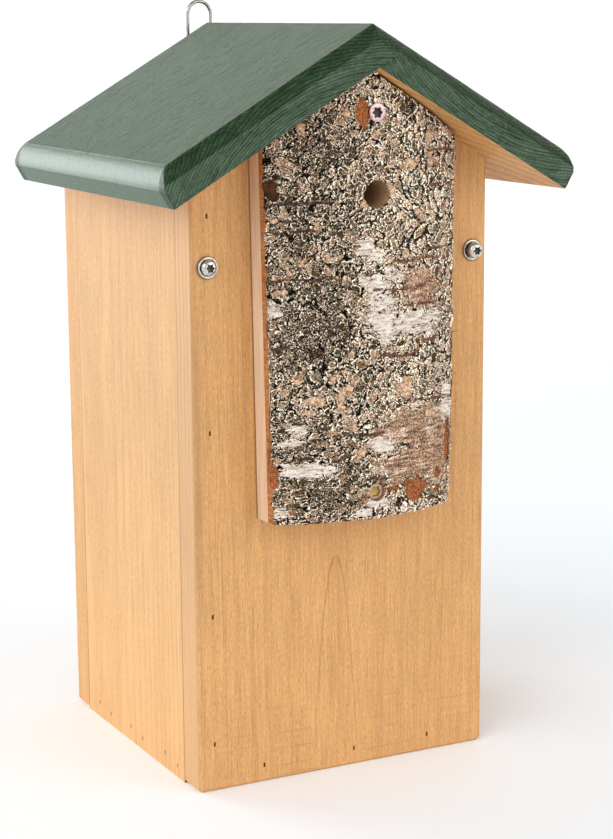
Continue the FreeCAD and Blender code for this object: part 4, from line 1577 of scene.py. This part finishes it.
@dataclass
class Hardware:
    """Screws and washers, in place of their plain solids."""

    pan_h: float = 2.8
    pan_shank: float = 4.0
    pan_length: float = 45.0
    csk_h: float = 3.2
    csk_shank: float = 4.5
    csk_length: float = 42.0
    csk_star: float = 4.8
    washer_id: float = 5.3
    washer_rim: float = 0.75
    washer_soft: float = 0.22
    washer_dish: float = 0.55
    washer_shade: float = 0.65
    washer_sides: int = 72
    deep_rows: int = 4

    def pan(self, tip: Sequence[float], side: int, head_d: float, length: float) -> Screw:
        """A pan screw.

        Args:
            tip: Outermost point of its head.
            side: Where it faces, -1 for the front and 1 for the back.
            head_d: Width of its head.
            length: Length of its shank.

        Returns:
            The screw.
        """
        out = np.array([0.0, side, 0.0])
        seat = np.array(tip) - out * self.pan_h
        return Screw(HeadForm.PAN, seat, out, head_d, self.pan_h, self.pan_shank, length)

    def pan_pair(self, node: str) -> list[Screw]:
        """The front and back pan screws of a group, seated as the solids are.

        Args:
            node: The CAD screws.

        Returns:
            Both screws.
        """
        low, high = corners(node)
        x, _, z = (low + high) / 2.0
        return [self.pan((x, end[1], z), side, high[0] - low[0], self.pan_length)
                for end, side in ((low, -1), (high, 1))]

    def loop_pair(self) -> list[Screw]:
        """The two screws that clamp the wire's eyes.

        Returns:
            Both screws.
        """
        low, high = corners("loop_screws")
        head_d, z = high[2] - low[2], (low[2] + high[2]) / 2.0
        return [self.pan((x, high[1], z), 1, head_d, high[1] - low[1] - self.pan_h)
                for x in (low[0] + head_d / 2.0, high[0] - head_d / 2.0)]

    def slab_pair(self) -> list[Screw]:
        """The two countersunk slab screws, of which the lower one has aged.

        Returns:
            Both screws.
        """
        low, high = corners("slab_screws")
        head_d, x = high[0] - low[0], (low[0] + high[0]) / 2.0
        out = np.array([0.0, -1.0, 0.0])
        seats = (low[1], high[2] - head_d / 2.0, 0.0), (high[1] - self.csk_length, low[2] + head_d / 2.0, 1.0)
        return [Screw(HeadForm.COUNTERSUNK, np.array([x, y, z]), out, head_d, self.csk_h, self.csk_shank,
                      self.csk_length, star_d=self.csk_star, aged=aged) for y, z, aged in seats]

    def screw_piece(self, name: str, screws: Sequence[Screw], steel: Material) -> bpy.types.Object:
        """One piece of like screws.

        Args:
            name: Name of the piece.
            screws: What it holds.
            steel: Finish.

        Returns:
            The screws.
        """
        shell = Shell()
        for screw in screws:
            shell.tube(screw.grid())
        rows = [np.arange(len(s.profile())) for s in screws]
        # Rows of the recess are marked deep, for painted shade.
        deep = np.concatenate([np.repeat(row < self.deep_rows, s.sides) for row, s in zip(rows, screws)])
        aged = np.repeat([s.aged for s in screws], [len(row) * s.sides for row, s in zip(rows, screws)])
        return shell.piece(name, [steel], 35.0, {"deep": deep, "aged": aged})

    def washer_piece(self, name: str, node: str, steel: Material) -> bpy.types.Object:
        """Dished washers with rounded rims: a closed ring section turned about the screw's axis.

        Args:
            name: Name of the piece.
            node: The CAD washers that it stands for.
            steel: Finish.

        Returns:
            The washers.
        """
        low, high = corners(node)
        x, _, z = (low + high) / 2.0
        outer, inner = (high[0] - low[0]) / 2.0, self.washer_id / 2.0
        faces = front_y(), float(corners("back_panel")[1][1])
        soft, dish, rim = self.washer_soft, self.washer_dish, outer - self.washer_rim
        ease = 0.3 * soft
        r = np.array([inner, rim - soft, rim, outer - soft, outer - ease, outer, outer, outer - soft, inner,
                      inner])
        h = np.array([dish, dish, 1 - ease, 1, 1 - ease, 1 - soft, soft, 0, 0, dish]) * (faces[0] - low[1])
        turn = full_turn(self.washer_sides)
        shell = Shell()
        for face, side in zip(faces, (-1, 1)):
            height = face + side * np.repeat(h[:, None], len(turn), 1)
            shell.tube(np.stack([x + r[:, None] * np.cos(turn), height, z + r[:, None] * np.sin(turn)], -1))
        # The washer's inner ring, by the head, is marked deep, for painted shade.
        deep = np.tile(np.repeat(self.washer_shade * (np.arange(len(r)) < 2), len(turn)), 2)
        return shell.piece(name, [steel], 50.0, {"deep": deep})

    def build(self) -> None:
        """Makes and places all the hardware."""
        steel = Steel("screw_bright_steel", (0.66, 0.64, 0.60), (0.30, 0.28, 0.25), 0.17).material()
        yellow = Steel("slab_screw_yellow_zinc", (0.56, 0.41, 0.42), (0.34, 0.25, 0.20), 0.34).material()
        groups = (
            ("pivot_screws", self.pan_pair("pivot_screws"), steel, "side_door"),
            ("side_screws", self.pan_pair("side_screws"), steel, "box"),
            ("slab_screws", self.slab_pair(), yellow, "box"),
            ("loop_screws", self.loop_pair(), steel, "box"),
        )
        for node, screws, finish, body in groups:
            settle(self.screw_piece(node + "_turned", screws, finish), body, "screw_steel", node)
        for node in ("pivot_washers", "side_washers"):
            settle(self.washer_piece(node + "_rounded", node, steel), "box", "screw_steel", node)


@dataclass
class HangingLoop:
    """Round bent wire: eye, leg, loop, leg and eye."""

    width: float = 14.0
    eye_r: float = 4.0
    bend_steps: int = 20
    leg_steps: int = 10
    sides: int = 20

    def path(self) -> tuple[Array, float]:
        """Middle line of the wire: arcs of a circle joined by straight legs.

        Returns:
            The points, and the wire's radius.
        """
        low, high = corners("hanging_loop")
        radius = (high[1] - low[1]) / 2.0
        leg = self.width / 2.0
        eye_z = low[2] + self.eye_r + radius
        top_z = high[2] - radius - leg
        hook = np.linspace(math.pi, 0.0, self.bend_steps)
        eye = np.stack([-leg - self.eye_r - self.eye_r * np.cos(hook), eye_z - self.eye_r * np.sin(hook)], 1)
        crown = np.stack([leg * np.cos(hook), top_z + leg * np.sin(hook)], 1)
        rise = np.linspace(eye_z, top_z, self.leg_steps + 2)[1:-1]
        half = np.concatenate([eye[::-1], np.stack([np.full(self.leg_steps, -leg), rise], 1)])
        flat = np.concatenate([half, crown, half[::-1] * (-1.0, 1.0)])
        return np.insert(flat, 1, low[1] + radius, 1), radius

    def build(self) -> None:
        """Makes and places the wire."""
        path, radius = self.path()
        shell = Shell()
        shell.rod(path, np.full(len(path), radius), self.sides)
        steel = Steel("loop_zinc_wire", (0.40, 0.375, 0.345), (0.24, 0.215, 0.19), 0.16).material()
        settle(shell.piece("hanging_loop_wire", [steel], 50.0), "box", "loop_steel", "hanging_loop")


# Studio and camera


@dataclass(frozen=True)
class SoftBox:
    """An area light: where it stands, what it looks at, its size, its power and its colour."""

    name: str
    place: Spot
    aim: Spot
    size: Pair
    watts: float
    colour: Colour = (1.0, 1.0, 1.0)

    def build(self) -> None:
        """Makes the light."""
        data = bpy.data.lights.new(self.name, "AREA")
        data.shape = "RECTANGLE"
        data.size, data.size_y = self.size
        data.energy = self.watts
        data.color = self.colour
        obj = stood(self.name, data)
        obj.visible_camera = False
        obj.location = self.place
        obj.rotation_euler = (Vector(self.aim) - Vector(self.place)).to_track_quat("-Z", "Y").to_euler()


@dataclass
class Studio:
    """Pale floor, white surroundings that darken overhead, a broad key light, a cool rim light and a fill."""

    horizon: float = 1.11
    overhead: float = 0.37
    darkens: Pair = (0.5, 0.9)
    key_from: Spot = (-0.75, -0.36, 0.55)
    key: float = 1.15
    key_spread: float = math.radians(55.0)
    half: float = 14.0
    lines: int = 9
    boxes: tuple[SoftBox, ...] = (
        SoftBox("rim_soft_box", (-1.2, 2.0, 0.62), (-0.1, 0.0, 0.3), (1.2, 1.2), 25.0, (0.92, 0.97, 1.0)),
        SoftBox("fill_soft_box", (1.3, -2.1, 0.9), (0.0, 0.0, 0.2), (1.4, 1.4), 13.0),
    )

    def sky(self) -> None:
        """Makes the world, whose light falls from the horizon's to the overhead one with height."""
        world = bpy.data.worlds.new("studio_white")
        world.use_nodes = True
        graph = Graph(world.node_tree)
        place = graph.node("ShaderNodeTexCoord", {}, {}, "Generated")
        height = graph.node("ShaderNodeSeparateXYZ", {}, {0: place}, 2)
        sockets = world.node_tree.nodes["Background"].inputs
        graph.feed(sockets["Color"], (1.0, 1.0, 1.0))
        graph.feed(sockets["Strength"], height.ramp(*self.darkens, self.horizon, self.overhead))
        bpy.context.scene.world = world

    def build(self) -> None:
        """Makes the world, the floor and the lights."""
        self.sky()
        span = np.linspace(-self.half, self.half, self.lines)
        gx, gy = np.meshgrid(span, span)
        shell = Shell()
        shell.lattice(shell.add(np.stack([gx, gy, np.zeros_like(gx)], -1) / MM))
        floor = shell.piece("studio_floor", [StudioFloor("studio_floor_matt").material()])
        if floor.data.polygons[0].normal.z < 0:
            floor.data.flip_normals()
        data = bpy.data.lights.new("key_light", "SUN")
        data.energy = self.key
        data.angle = self.key_spread
        stood("key_light", data).rotation_euler = Vector(self.key_from).to_track_quat("Z", "Y").to_euler()
        for box in self.boxes:
            box.build()
        bpy.context.scene.view_settings.view_transform = "Standard"


@dataclass(frozen=True)
class Viewpoint:
    """Camera of the photograph: place in millimetres, turns in degrees and focal length in pixels."""

    place: Spot = (-491.946, -990.134, 390.33)
    yaw: float = 27.441
    down: float = 11.216
    roll: float = -0.37
    focal: float = 2066.03
    long_side: float = 839.0
    sensor: float = 36.0
    sight: float = 50.0

    def build(self) -> None:
        """Makes the camera from its right, up and backward directions."""
        yaw, down, roll = (math.radians(v) for v in (self.yaw, self.down, self.roll))
        ahead = Vector((math.sin(yaw) * math.cos(down), math.cos(yaw) * math.cos(down), -math.sin(down)))
        right = Vector((math.cos(yaw), -math.sin(yaw), 0.0))
        up = right.cross(ahead)
        level = right * math.cos(roll) + up * math.sin(roll)
        upright = up * math.cos(roll) - right * math.sin(roll)
        data = bpy.data.cameras.new("photo_camera")
        data.sensor_width = self.sensor
        data.lens = self.focal * self.sensor / self.long_side
        data.clip_end = self.sight
        obj = stood("photo_camera", data)
        turn = Matrix((level, upright, -ahead)).transposed().to_4x4()
        obj.matrix_world = Matrix.Translation(Vector(self.place) * MM) @ turn
        bpy.context.scene.camera = obj


def main() -> None:
    """Builds and dresses the sub-assemblies in order."""
    logging.basicConfig(level=logging.INFO, format="%(name)s: %(message)s")
    Viewpoint().build()
    Studio().build()
    Carcass().dress()
    Roof().build()
    LogSlab().dress()
    Hardware().build()
    HangingLoop().build()


if __name__ == "__main__":
    main()
